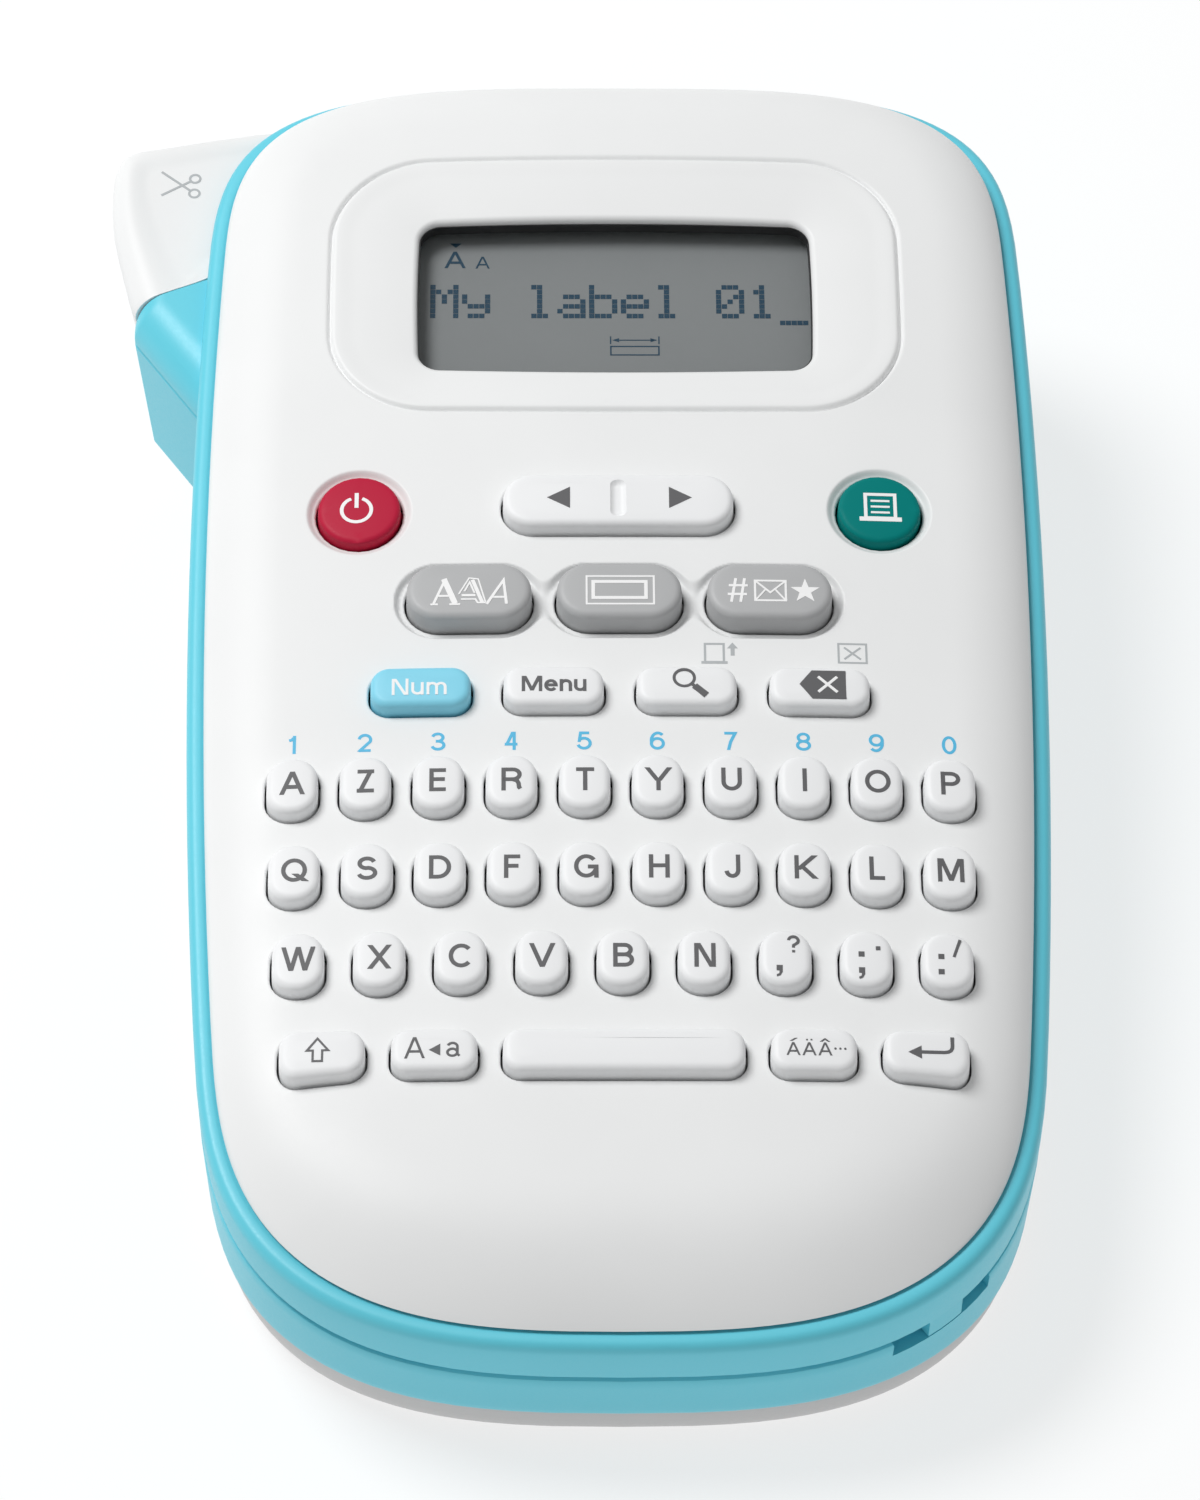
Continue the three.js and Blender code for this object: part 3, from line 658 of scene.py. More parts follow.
def lower_case():
    skirt = 4.8
    rings = [(0.95, lambda x, y: base_z(y) + skirt, TOP_TUCK),
             (0.7, lambda x, y: base_z(y) + skirt + 0.25, TOP_TUCK),
             (0.48, lambda x, y: base_z(y) + skirt + 0.8, TOP_TUCK * 0.95)]
    for share in (0.0, 0.2, 0.4, 0.6, 0.8, 1.0):
        def level(x, y, share=share):
            low, high = base_z(y) + skirt + 1.6, PARTING_Z - GAP - 0.6
            return low + (high - low) * share
        rings.append((0.4 - 0.35 * share, level, TOP_TUCK * 0.9 * (1 - share)))
    rings += [(0.16, PARTING_Z - GAP - 0.3, 0), (0.55, PARTING_Z - GAP - 0.05, 0)]
    outer = loft([(outline(i, tuck), z) for i, z, tuck in rings])
    steps = [("UNION", prism(outline(2.8, TOP_TUCK), PARTING_Z - 1, -9.3))]
    inner = outline(4.6, TOP_TUCK)
    steps.append(("DIFFERENCE", loft([(inner, lambda x, y: base_z(y)), (inner, -10.9)])))
    for x0, x1, y0, y1 in ((-43.5, 43.5, 26, 27.6), (13, 14.6, -66, 27), (-14.6, -13, -66, 27),
                           (-21.6, -20, 27, 66)):
        plan = [(x0, y0), (x1, y0), (x1, y1), (x0, y1)]
        steps.append(("UNION", loft([(plan, lambda x, y: base_z(y) + 4.2), (plan, -9.8)])))
    guard = loft([guard_ring(1.2, -31, 2.2), guard_ring(0.4, -30.2, 2),
                  guard_ring(0, PARTING_Z - GAP - 0.3), guard_ring(0.2, PARTING_Z - GAP)])
    steps += [("UNION", guard), ("DIFFERENCE", LEVER_ROOM)]
    steps.append(("DIFFERENCE", prism(circle(*PIVOT, 3.8, 40), -24.4, -14.6)))
    steps.append(("DIFFERENCE", prism([(-51, 71.5), (-43.7, 71.5), (-43.7, 80), (-51, 80)],
                                      -24.4, -14.6)))
    steps.append(("DIFFERENCE", prism([(-34.5, 91), (-32.3, 91), (-32.3, 108), (-34.5, 108)],
                                      -27.5, -13.9)))
    steps.append(("DIFFERENCE", strap_block(STRAP_PITCH + STRAP_W, -4, STRAP_DEEP,
                                            PARTING_Z - STRAP_H, PARTING_Z)))
    steps.append(("UNION", prism(circle(*PIVOT, 1.35, 32), -25, -14)))
    data = combine("lower_case", outer, steps)
    add_object("lower_shell", *data, BLUE_ABS, "case", replaces=["lower_case"],
               slot="blue_case", sharp=32)


def back_cover():
    rings = [(3.5, 0), (2.8, 0), (2.4, 0.03), (2.05, 0.12), (1.8, 0.28), (1.6, 0.5), (1.42, 0.82),
             (1.28, 1.3), (1.18, 1.9), (1.12, 2.6), (1.1, 4.0), (1.14, 4.38), (1.24, 4.5)]
    tray = loft([(outline(i, TOP_TUCK), lambda x, y, z=z: base_z(y) + z) for i, z in rings])
    hollow = loft([(outline(4.6, TOP_TUCK), lambda x, y: base_z(y) + 2),
                   (outline(4.6, TOP_TUCK), lambda x, y: base_z(y) + 6)])
    grip = [(rounded(24, 9, 4, g, 10, 1.5, (0, 86)), lambda x, y, z=z: base_z(y) + z)
            for g, z in ((0.3, -1), (0, -0.02), (-0.25, 0.3), (-0.6, 0.6), (-1.1, 0.8))]
    steps = [("DIFFERENCE", hollow), ("DIFFERENCE", loft(grip))]
    for i in range(5):
        y = 83 + 1.5 * i
        ridge = rounded(16, 0.7, 0.34, 0, 5, 3, (0, y))
        steps.append(("UNION", loft([(ridge, lambda x, y: base_z(y) + 0.2),
                                     (ridge, lambda x, y: base_z(y) + 1)])))
    add_object("back_shell", *combine("back", tray, steps), BACK_ABS, "back",
               replaces=["back_cover"], slot="back_shell", sharp=32)


upper_case()
lower_case()
back_cover()


# ---------------------------------------------------------------- cutter lever

def chaikin(points, times=3):
    for _ in range(times):
        cut = []
        for i, a in enumerate(points):
            b = points[(i + 1) % len(points)]
            cut.append((0.75 * a[0] + 0.25 * b[0], 0.75 * a[1] + 0.25 * b[1]))
            cut.append((0.25 * a[0] + 0.75 * b[0], 0.25 * a[1] + 0.75 * b[1]))
        points = cut
    return points


LEVER_PLAN = chaikin([(-57.3, 70.3), (-58.9, 76.7), (-60.1, 82.2), (-60.5, 87), (-60.4, 91.8),
                      (-59.3, 94.6), (-54.5, 95.5), (-49.5, 96.5), (-41.0, 98.0), (-40.7, 97.3),
                      (-42.4, 91), (-46.0, 78.4), (-48.0, 74.6), (-48.85, 73.85),
                      (-56.85, 70.48)][::-1])
LEVER_LOW, LEVER_HIGH = 72.0, 95.0
GUARD_SLOPE, LIP_GROWTH = 0.42, 0.6
LEVER_DISH_Z = LEVER_TOP - 0.24


def lever_sides(y):
    """How far the lever's plan reaches to the left and to the right at y."""
    left = -60.5 + 3.2 * min(max((87 - y) / 16.7, 0), 1) ** 2
    return left, -48.2 + 0.3 * max(y - 74, 0)


def lever_ring(pull):
    """The plan with its left and top sides moved in by `pull`; the side along the guard
    slides on its own line and the one along the case stays."""
    ring = []
    for x, y in LEVER_PLAN:
        left, right = lever_sides(y)
        across = min(max((right - x) / (right - left), 0), 1)
        rise = min(max((y - LEVER_LOW) / (LEVER_HIGH - LEVER_LOW), 0), 1)
        shift = pull * across * (1 + LIP_GROWTH * (1 - rise))
        ring.append((x + shift, y + GUARD_SLOPE * shift * (1 - rise) - pull * rise ** 3))
    return ring


def cutter_lever():
    profile = [(1.9, LEVER_BOTTOM), (1.4, LEVER_BOTTOM + 0.25), (1.2, LEVER_BOTTOM + 0.8),
               (0.55, -19), (0, -11.2)]
    profile += fillet((0, -11.2), (1.9, LEVER_TOP + 0.02), 7)
    profile += [(2.2, LEVER_TOP + 0.01), (2.5, LEVER_TOP - 0.02), (2.9, LEVER_TOP - 0.08),
                (3.3, LEVER_TOP - 0.16), (3.7, LEVER_TOP - 0.22), (4.1, LEVER_DISH_Z)]
    body = loft([(lever_ring(pull), z) for pull, z in profile])
    arm = [(-50.2, 72.4), (-44.6, 73.4), (-45.4, 79), (-50.4, 78)]
    data = combine("lever", body, [("UNION", prism(circle(*PIVOT, 3.3, 40), -24, -15)),
                                   ("UNION", prism(arm, -24, -15)),
                                   ("DIFFERENCE", prism(circle(*PIVOT, 1.7, 32), -26, -13))])
    return add_object("lever_shell", *data, WHITE_ABS, "cutter", replaces=["cutter_lever"],
               slot="white_case", sharp=40)


LEVER = cutter_lever()


# --------------------------------------------------------------------- legends

INK = 0.03                                 # printed shapes stand this far proud
LAYER = 0.15                               # extra height of crossing shapes, as a share of INK
LONG_END = 1.6                             # ends longer than this many widths are cut level
LEGEND_LEFT, LEGEND_DROP = 0.1, 0.58       # legends sit off the middle of their keys


def bow_of(cx, cy, rx, ry, start, end, steps=14):
    """Elliptical arc as points, angles in degrees."""
    return [(cx + rx * math.cos(math.radians(start + (end - start) * k / steps)),
             cy + ry * math.sin(math.radians(start + (end - start) * k / steps)))
            for k in range(steps + 1)]


def whole(cx, cy, rx, ry):
    return ["closed", *bow_of(cx, cy, rx, ry, 0, 360, 28)[:-1]]


# Centre lines of plain sans serif letters in a unit box, each with its width for a
# capital height of 1. A stroke that starts with "closed" is a loop.
STROKES = {
    "A": (0.84, [(0, 0), (0.456, 1)], [(0.544, 1), (1, 0)], [(0.15, 0.3), (0.85, 0.3)]),
    "B": (0.7, [(0, 0), (0, 1), *bow_of(0.55, 0.76, 0.38, 0.24, 90, -90), (0, 0.52)],
          [(0, 0.52), *bow_of(0.58, 0.26, 0.42, 0.26, 90, -90), (0, 0)]),
    "C": (0.84, bow_of(0.52, 0.5, 0.52, 0.5, 42, 318, 26)),
    "D": (0.76, ["closed", (0, 0), (0, 1), *bow_of(0.4, 0.5, 0.6, 0.5, 90, -90)]),
    "E": (0.62, [(1, 1), (0, 1), (0, 0), (1, 0)], [(0, 0.53), (0.93, 0.53)]),
    "F": (0.6, [(1, 1), (0, 1), (0, 0)], [(0, 0.52), (0.88, 0.52)]),
    "G": (0.86, [*bow_of(0.5, 0.5, 0.5, 0.5, 40, 345, 26)], [(0.58, 0.47), (1, 0.47), (1, 0)]),
    "H": (0.7, [(0, 0), (0, 1)], [(1, 0), (1, 1)], [(0, 0.53), (1, 0.53)]),
    "I": (0.0, [(0, 0), (0, 1)]),
    "J": (0.5, [(1, 1), *bow_of(0.5, 0.3, 0.5, 0.3, 0, -172)]),
    "K": (0.74, [(0, 0), (0, 1)], [(0.93, 1), (0.19, 0.45)], [(0.41, 0.45), (0.96, 0)]),
    "L": (0.56, [(0, 1), (0, 0), (1, 0)]),
    "M": (0.95, [(0, 0), (0, 1)], [(0.11, 1), (0.468, 0.06)], [(0.532, 0.06), (0.89, 1)], [(1, 0), (1, 1)]),
    "N": (0.72, [(0, 0), (0, 1)], [(0.16, 1), (0.84, 0)], [(1, 0), (1, 1)]),
    "O": (0.92, whole(0.5, 0.5, 0.5, 0.5)),
    "P": (0.66, [(0, 0), (0, 1), *bow_of(0.52, 0.73, 0.48, 0.27, 90, -90), (0, 0.46)]),
    "Q": (0.92, whole(0.5, 0.5, 0.5, 0.5), [(0.66, 0.22), (0.92, 0.02)]),
    "R": (0.72, [(0, 0), (0, 1), *bow_of(0.56, 0.745, 0.4, 0.255, 90, -90), (0, 0.49)],
          [(0.5, 0.49), (0.8, 0.42), (0.9, 0.28), (0.93, 0.08), (1, 0)]),
    "S": (0.7, [*bow_of(0.49, 0.75, 0.45, 0.25, 18, 262), *bow_of(0.5, 0.26, 0.5, 0.26, 80, -165)]),
    "T": (0.78, [(0, 1), (1, 1)], [(0.5, 1), (0.5, 0)]),
    "U": (0.7, [(0, 1), *bow_of(0.5, 0.36, 0.5, 0.36, 180, 360), (1, 1)]),
    "V": (0.84, [(0, 1), (0.456, 0)], [(0.544, 0), (1, 1)]),
    "W": (1.2, [(0, 1), (0.227, 0)], [(0.273, 0), (0.477, 1)], [(0.523, 1), (0.727, 0)],
          [(0.773, 0), (1, 1)]),
    "X": (0.68, [(0, 0), (1, 1)], [(0, 1), (1, 0)]),
    "Y": (0.84, [(0, 1), (0.4, 0.5)], [(0.6, 0.5), (1, 1)], [(0.5, 0.42), (0.5, 0)]),
    "Z": (0.74, [(0.03, 1), (1, 1)], [(0.79, 1), (0.21, 0)], [(0, 0), (1, 0)]),
    "0": (0.62, whole(0.5, 0.5, 0.5, 0.5)),
    "1": (0.3, [(0.95, 0), (0.95, 1)], [(0, 0.78), (0.5, 0.82), (0.8, 0.95)]),
    "2": (0.64, [*bow_of(0.5, 0.7, 0.48, 0.3, 172, -28), (0.5, 0.28), (0.16, 0.04)],
          [(0, 0), (1, 0)]),
    "3": (0.64, [*bow_of(0.48, 0.76, 0.44, 0.24, 165, -90), (0.32, 0.52)],
          [(0.32, 0.52), *bow_of(0.5, 0.26, 0.5, 0.26, 90, -165)]),
    "4": (0.68, [(0.74, 0), (0.74, 1)], [(0.6, 1), (0.17, 0.28)], [(0, 0.28), (1, 0.28)]),
    "5": (0.64, [(0.92, 1), (0.2, 1), (0.09, 0.5)], bow_of(0.48, 0.33, 0.52, 0.33, 140, -162)),
    "6": (0.64, whole(0.5, 0.32, 0.5, 0.32), bow_of(0.55, 0.5, 0.55, 0.5, 48, 195)),
    "7": (0.64, [(0, 1), (1, 1)], [(0.9, 1), (0.52, 0.45), (0.36, 0)]),
    "8": (0.64, whole(0.5, 0.76, 0.43, 0.24), whole(0.5, 0.26, 0.5, 0.26)),
    "9": (0.64, whole(0.5, 0.68, 0.5, 0.32), bow_of(0.45, 0.5, 0.55, 0.5, -132, 15)),
    "?": (0.5, [*bow_of(0.5, 0.74, 0.5, 0.26, 175, -50), (0.5, 0.42), (0.5, 0.27)],
          [(0.5, 0.1), (0.5, -0.05)]),
    "a": (0.56, [*bow_of(0.45, 0.52, 0.42, 0.21, 160, 0), (0.87, 0.1), (1.05, 0)],
          whole(0.43, 0.2, 0.43, 0.2)),
    "e": (0.56, [(0.02, 0.38), *bow_of(0.5, 0.365, 0.5, 0.365, 3, 322, 22)]),
    "m": (0.9, [(0, 0), (0, 0.73)], [(0, 0.42), *bow_of(0.25, 0.48, 0.25, 0.25, 170, 0, 8), (0.5, 0)],
          [(0.5, 0.42), *bow_of(0.75, 0.48, 0.25, 0.25, 170, 0, 8), (1, 0)]),
    "n": (0.5, [(0, 0), (0, 0.73)], [(0, 0.42), *bow_of(0.5, 0.46, 0.5, 0.27, 165, 0), (1, 0)]),
    "u": (0.5, [(0, 0.73), *bow_of(0.5, 0.27, 0.5, 0.27, 180, 350), (1, 0.35)], [(1, 0), (1, 0.73)]),
    "\u00b4": (0.88, [(0.42, 1.24), (0.66, 1.38)]),
    "\u00a8": (0.88, [(0.24, 1.3), (0.4, 1.3)], [(0.62, 1.3), (0.78, 1.3)]),
    "^": (0.88, [(0.24, 1.2), (0.5, 1.38), (0.76, 1.2)]),
}


class Ink:
    """Printed shapes of one colour, in millimetres about (x, y), on height(x, y)."""

    def __init__(self, name, look, body, slot, x=0.0, y=0.0, height=None, lift=INK):
        self.name, self.look, self.body, self.slot = name, look, body, slot
        self.x, self.y, self.height, self.lift = x, y, height, lift
        self.verts, self.faces, self.shapes = [], [], 0

    def add(self, verts, faces):
        """Each shape stands a hair higher than the last, so crossings never coincide."""
        start = len(self.verts)
        self.shapes += 1
        extra = LAYER * (self.shapes % 4)
        self.verts += [(x, y, side + extra * (side > 0)) for x, y, side in verts]
        self.faces += [tuple(i + start for i in f) for f in faces]

    def plate(self, points):
        n = len(points)
        verts = [(x, y, side) for side in (-1, 1) for x, y in points]
        faces = [tuple(reversed(range(n))), tuple(range(n, 2 * n))]
        faces += [(i, (i + 1) % n, n + (i + 1) % n, n + i) for i in range(n)]
        self.add(verts, faces)

    def band(self, outer, inner):
        n = len(outer)
        verts = [(x, y, side) for side in (-1, 1) for loop in (outer, inner) for x, y in loop]
        faces = []
        for i in range(n):
            j = (i + 1) % n
            faces += [(2 * n + i, 2 * n + j, 3 * n + j, 3 * n + i), (j, i, n + i, n + j),
                      (i, j, 2 * n + j, 2 * n + i), (n + j, n + i, 3 * n + i, 3 * n + j)]
        self.add(verts, faces)

    def line(self, points, width, closed=False, level_ends=False):
        """A stroke of even width; `level_ends` cuts long slanting ends level."""
        n = len(points)
        sides = [[], []]
        for i, p in enumerate(points):
            before = points[i - 1] if closed or i else None
            after = points[(i + 1) % n] if closed or i < n - 1 else None
            ways = [(Vector(b) - Vector(a)).normalized()
                    for a, b in ((before, p), (p, after)) if a is not None and b is not None]
            mean = sum(ways, Vector((0, 0))).normalized()
            reach = width / 2 / max(0.35, mean.dot(ways[0]))
            normal = Vector((-mean.y, mean.x)) * reach
            left, right = Vector(p) + normal, Vector(p) - normal
            other = after or before
            if (level_ends and len(ways) == 1 and abs(mean.y) > 0.35
                    and math.dist(p, other) > LONG_END * width):
                level = p[1] + math.copysign(width / 2, p[1] - other[1])
                left, right = (q + mean * (level - q.y) / mean.y for q in (left, right))
            sides[0].append(tuple(left))
            sides[1].append(tuple(right))
        if closed:
            self.band(sides[1], sides[0])
            return
        verts = [(x, y, side) for side in (-1, 1) for edge in sides for x, y in edge]
        faces = [(0, n, 3 * n, 2 * n), (n - 1, 3 * n - 1, 4 * n - 1, 2 * n - 1)]
        for i in range(n - 1):
            j = i + 1
            faces += [(2 * n + i, 3 * n + i, 3 * n + j, 2 * n + j), (i, j, n + j, n + i),
                      (i, 2 * n + i, 2 * n + j, j), (n + i, n + j, 3 * n + j, 3 * n + i)]
        self.add(verts, faces)

    def text(self, text, centre, base, cap, weight, width=None):
        """A line of letters centred on `centre`; width stretches it to that length."""
        space = 0.3
        widths = [STROKES[letter][0] for letter in text]
        natural = (cap - weight) * (sum(widths) + space * (len(text) - 1))
        stretch = (width - weight) / natural if width else 1.0
        tall = cap - weight
        x = centre - natural * stretch / 2
        for letter, wide in zip(text, widths):
            for stroke in STROKES[letter][1:]:
                closed = stroke[0] == "closed"
                self.line([(x + u * wide * tall * stretch, base + weight / 2 + v * tall)
                           for u, v in (stroke[1:] if closed else stroke)], weight, closed,
                          level_ends=True)
            x += (wide + space) * tall * stretch

    def build(self):
        verts = np.array(self.verts, float)
        verts[:, 0] += self.x
        verts[:, 1] += self.y
        verts[:, 2] = self.height(verts[:, 0], verts[:, 1]) + verts[:, 2] * self.lift
        return add_object(self.name, verts, self.faces, self.look, self.body, slot=self.slot)


def key_ink(key, look=DARK_INK, name=None, lift=INK):
    drop = 0 if key.name in ROUND else LEGEND_DROP
    return Ink(name or f"legend_{key.name}", look, key.body,
               KEY_SLOT.get(key.name, "white_key"), key.x - LEGEND_LEFT, key.y - drop,
               lambda x, y: key.top - crowned(x), lift)


LETTER_SHIFT, LETTER_BASE, LETTER_CAP, LETTER_WEIGHT = 0.15, -0.9, 3.05, 0.48
for item in KEYS.values():
    if len(item.name) == 1:
        ink = key_ink(item)
        ink.text(item.name.upper(), LETTER_SHIFT, LETTER_BASE, LETTER_CAP, LETTER_WEIGHT)
        ink.build()


def square(ink, x, y, size):
    h = size / 2
    ink.plate([(x - h, y - h), (x + h, y - h), (x + h, y + h), (x - h, y + h)])


def comma(ink, x, y):
    ink.plate([(x - 0.34, y - 0.34), (x - 0.02, y - 0.38), (x - 0.06, y - 0.72),
               (x - 0.34, y - 0.86), (x - 0.32, y - 1.08), (x + 0.08, y - 0.92),
               (x + 0.32, y - 0.52), (x + 0.34, y + 0.34), (x - 0.34, y + 0.34)])


def arc(x, y, r, start, end, steps=24, ry=None):
    return [(x + r * math.cos(math.radians(start + (end - start) * k / steps)),
             y + (ry or r) * math.sin(math.radians(start + (end - start) * k / steps)))
            for k in range(steps + 1)]


ink = key_ink(KEYS["comma"])
comma(ink, -0.6, -0.95)
ink.text("?", 0.96, 0.97, 2.27, 0.33, width=1.39)
ink.build()
ink = key_ink(KEYS["semicolon"])
square(ink, -0.49, 0.96, 0.66)
comma(ink, -0.49, -1.1)
square(ink, 1.34, 1.74, 0.5)
ink.build()
ink = key_ink(KEYS["colon"])
square(ink, -0.63, 0.89, 0.66)
square(ink, -0.67, -1.07, 0.66)
ink.line([(0.76, 0.87), (1.5, 3.1)], 0.33)
ink.build()

ink = key_ink(KEYS["num"], WHITE_INK)
ink.text("Num", -0.03, -0.8, 2.2, 0.32, width=6.15)
ink.build()
ink = key_ink(KEYS["menu"])
ink.text("Menu", 0.14, -0.47, 2.08, 0.38, width=7.25)
ink.build()

ink = key_ink(KEYS["preview"])
ink.line(circle(-0.19, 1.37, 1.14, 40), 0.34, closed=True)
ink.line([(0.62, 0.56), (1.05, 0.16)], 0.4)
ink.line([(0.95, 0.28), (2.28, -0.97)], 0.8)
ink.build()
ink = key_ink(KEYS["backspace"])
ink.plate([(-2.2, 0.66), (-0.8, -1.28), (3.02, -1.28), (3.02, 2.52), (-0.8, 2.52)])
ink.build()
ink = key_ink(KEYS["backspace"], WHITE_INK, "legend_backspace_cross", 2 * INK)
ink.line([(-0.1, 1.66), (2.04, -0.42)], 0.34)
ink.line([(-0.1, -0.42), (2.04, 1.66)], 0.34)
ink.build()

ink = key_ink(KEYS["shift"])
ink.line([(-0.36, 2.0), (-1.5, 0.5), (-0.85, 0.5), (-0.85, -0.84), (0.17, -0.84), (0.17, 0.5),
          (0.82, 0.5)], 0.24, closed=True)
ink.build()
ink = key_ink(KEYS["caps"])
ink.text("A", -2.0, -0.72, 2.64, 0.28, width=2.1)
ink.plate([(-0.46, 0.31), (0.77, -0.42), (0.77, 1.06)])
ink.text("a", 2.16, -0.62, 2.5, 0.28, width=1.52)
ink.build()
ink = key_ink(KEYS["accent"])
for accent, place in (("\u00b4", -2.19), ("\u00a8", -0.47), ("^", 1.25)):
    ink.text("A", place, -0.4, 1.62, 0.2, width=1.42)
    ink.text(accent, place, -0.4, 1.62, 0.17, width=1.42)
for place in (2.35, 2.88, 3.41):
    ink.plate(circle(place, 0.48, 0.13, 10))
ink.build()
ink = key_ink(KEYS["enter"])
ink.plate([(-1.95, 0.24), (-0.5, -0.58), (-0.5, 1.06)])
ink.line([(-0.55, 0.26), (2.0, 0.26), (2.4, 0.33), (2.68, 0.52), (2.83, 0.82), (2.86, 1.2),
          (2.86, 2.2)], 0.4)
ink.build()

ink = key_ink(KEYS["cursor"])
ink.plate([(-8.06, 0.62), (-5.44, -0.88), (-5.44, 2.12)])
ink.plate([(8.5, 0.62), (5.9, 2.12), (5.9, -0.88)])
ink.build()

ink = key_ink(KEYS["style"], WHITE_INK)
ink.line([(-3.9, -1.5), (-2.55, 1.95)], 0.3)
ink.line([(-2.75, 1.95), (-1.45, -1.5)], 0.66)
ink.line([(-3.5, -0.42), (-1.8, -0.42)], 0.26)
ink.line([(-4.25, -1.58), (-3.4, -1.58)], 0.24)
ink.line([(-2.1, -1.58), (-0.87, -1.58)], 0.24)
ink.line([(-1.05, -0.2), (0.12, 2.05), (1.15, 1.9), (1.98, -1.3)], 0.17)
ink.line([(-0.4, 0.2), (0.18, 1.45), (0.75, -0.05)], 0.2)
ink.line([(0.5, 1.8), (1.62, -1.35)], 0.42)
ink.line([(-0.72, -0.35), (0.85, -0.35)], 0.3)
ink.line([(-0.8, -0.9), (0.85, -0.9), (1.1, -1.4), (2.0, -1.4)], 0.2)
ink.line([(2.12, -1.6), (4.02, 1.72), (4.36, -1.6)], 0.34)
ink.line([(2.75, -0.62), (4.25, -0.62)], 0.26)
ink.build()
ink = key_ink(KEYS["frame"], WHITE_INK)
for (x0, y0, x1, y1), width in (((-3.62, -1.62, 4.0, 2.24), 0.22),
                                ((-2.88, -0.76, 3.1, 1.48), 0.4)):
    ink.line([(x0, y0), (x1, y0), (x1, y1), (x0, y1)], width, closed=True)
ink.build()
ink = key_ink(KEYS["symbol"], WHITE_INK)
for start, end in (((-4.3, -1.3), (-3.75, 2.0)), ((-3.25, -1.3), (-2.75, 2.0)),
                   ((-4.55, 1.0), (-2.4, 1.0)), ((-4.7, -0.2), (-2.52, -0.2))):
    ink.line([start, end], 0.32)
ink.line([(-1.58, -1.05), (1.9, -1.05), (1.9, 1.7), (-1.58, 1.7)], 0.25, closed=True)
ink.line([(-1.5, 1.62), (0.15, 0.05), (1.82, 1.62)], 0.22)
ink.line([(-1.5, -0.97), (-0.42, 0.45)], 0.2)
ink.line([(1.82, -0.97), (0.74, 0.45)], 0.2)
ink.plate([(4.1 + r * math.sin(math.pi * k / 5), 0.32 + r * math.cos(math.pi * k / 5))
           for k, r in ((i, 1.74 if i % 2 == 0 else 0.68) for i in range(10, 0, -1))])
ink.build()

ink = key_ink(KEYS["power"], WHITE_INK)
ink.line(arc(-0.2, -0.2, 1.7, 112, 428, 36), 0.42)
ink.line([(-0.2, 0.1), (-0.2, 2.2)], 0.46)
ink.build()
ink = key_ink(KEYS["print"], WHITE_INK)
ink.line([(-1.5, -1.5), (1.9, -1.5), (1.9, 1.85), (-1.5, 1.85)], 0.4, closed=True)
ink.plate([(-2.24, -1.95), (2.62, -1.95), (2.62, -1.36), (-2.24, -1.36)])
for level in (0.93, 0.12, -0.7):
    ink.line([(-0.9, level), (1.28, level)], 0.28)
ink.build()


DIGIT_PITCH, DIGIT_BASE, DIGIT_CAP = 1.006, 0.05, 2.45
ink = Ink("print_digits", BLUE_INK, "case", "white_case", height=cover_height, lift=0.02)
for letter, digit in zip("azertyuiop", "1234567890"):
    ink.text(digit, KEYS[letter].x * DIGIT_PITCH + 0.02, DIGIT_BASE, DIGIT_CAP, 0.36)
ink.build()
ink = Ink("print_symbols", PALE_INK, "case", "white_case", height=cover_height, lift=0.02)
ink.line([(9.74, 12.1), (11.86, 12.1), (11.86, 14.6), (9.74, 14.6)], 0.26, closed=True)
ink.plate([(9.32, 11.85), (12.28, 11.85), (12.28, 12.2), (9.32, 12.2)])
ink.plate([(12.26, 14.0), (12.64, 14.0), (12.64, 13.0), (13.08, 13.0), (13.08, 14.0),
           (13.46, 14.0), (12.86, 14.8)])
ink.line([(24.85, 12.22), (28.0, 12.22), (28.0, 14.82), (24.85, 14.82)], 0.24, closed=True)
ink.line([(25.5, 14.32), (27.35, 12.72)], 0.24)
ink.line([(25.5, 12.72), (27.35, 14.32)], 0.24)
ink.build()

def level_of(piece):
    """Height of a piece's upper surface over points of the face plane."""
    def height(x, y):
        inverse = piece.matrix_world.inverted()
        start = [inverse @ FACE @ Vector((u, v, 20)) for u, v in zip(x, y)]
        way = (inverse.to_3x3() @ FACE.to_3x3() @ Vector((0, 0, -1))).normalized()
        return np.array([(TO_FACE @ piece.matrix_world @ piece.ray_cast(p, way)[1]).z
                         for p in start])
    return height


ink = Ink("lever_scissors", PALE_INK, "cutter", "white_case", height=level_of(LEVER))
ink.line([(-54.5, 90.7), (-51.0, 87.8)], 0.3)
ink.line([(-54.45, 87.05), (-50.95, 89.25)], 0.3)
for centre in ((-50.45, 89.64), (-50.48, 87.35)):
    ink.line(circle(*centre, 0.62, 28), 0.28, closed=True)
ink.build()


# --------------------------------------------------------------------- display

GLYPHS = {
    "M": "10001 11011 10101 10101 10001 10001 10001", "y": "00000 00000 10001 10001 01111 00001 01110",
    "l": "01100 00100 00100 00100 00100 00100 01110", "a": "00000 00000 01110 00001 01111 10001 01111",
    "b": "10000 10000 11110 10001 10001 10001 11110", "e": "00000 00000 01110 10001 11111 10000 01110",
    "N": "10001 10001 11001 10101 10011 10001 10001", "o": "00000 00000 01110 10001 10001 10001 01110",
    "0": "01110 10001 10011 10101 11001 10001 01110", "1": "00100 01100 00100 00100 00100 00100 01110",
    " ": "00000 00000 00000 00000 00000 00000 00000",
}
LCD_Z = -4.5
LCD_LEFT, LCD_TOP, LCD_PITCH = -21.81, 70.1, 3.76
DOT_X, DOT_Y, DOT_GAP = 0.68, 0.725, 0.06

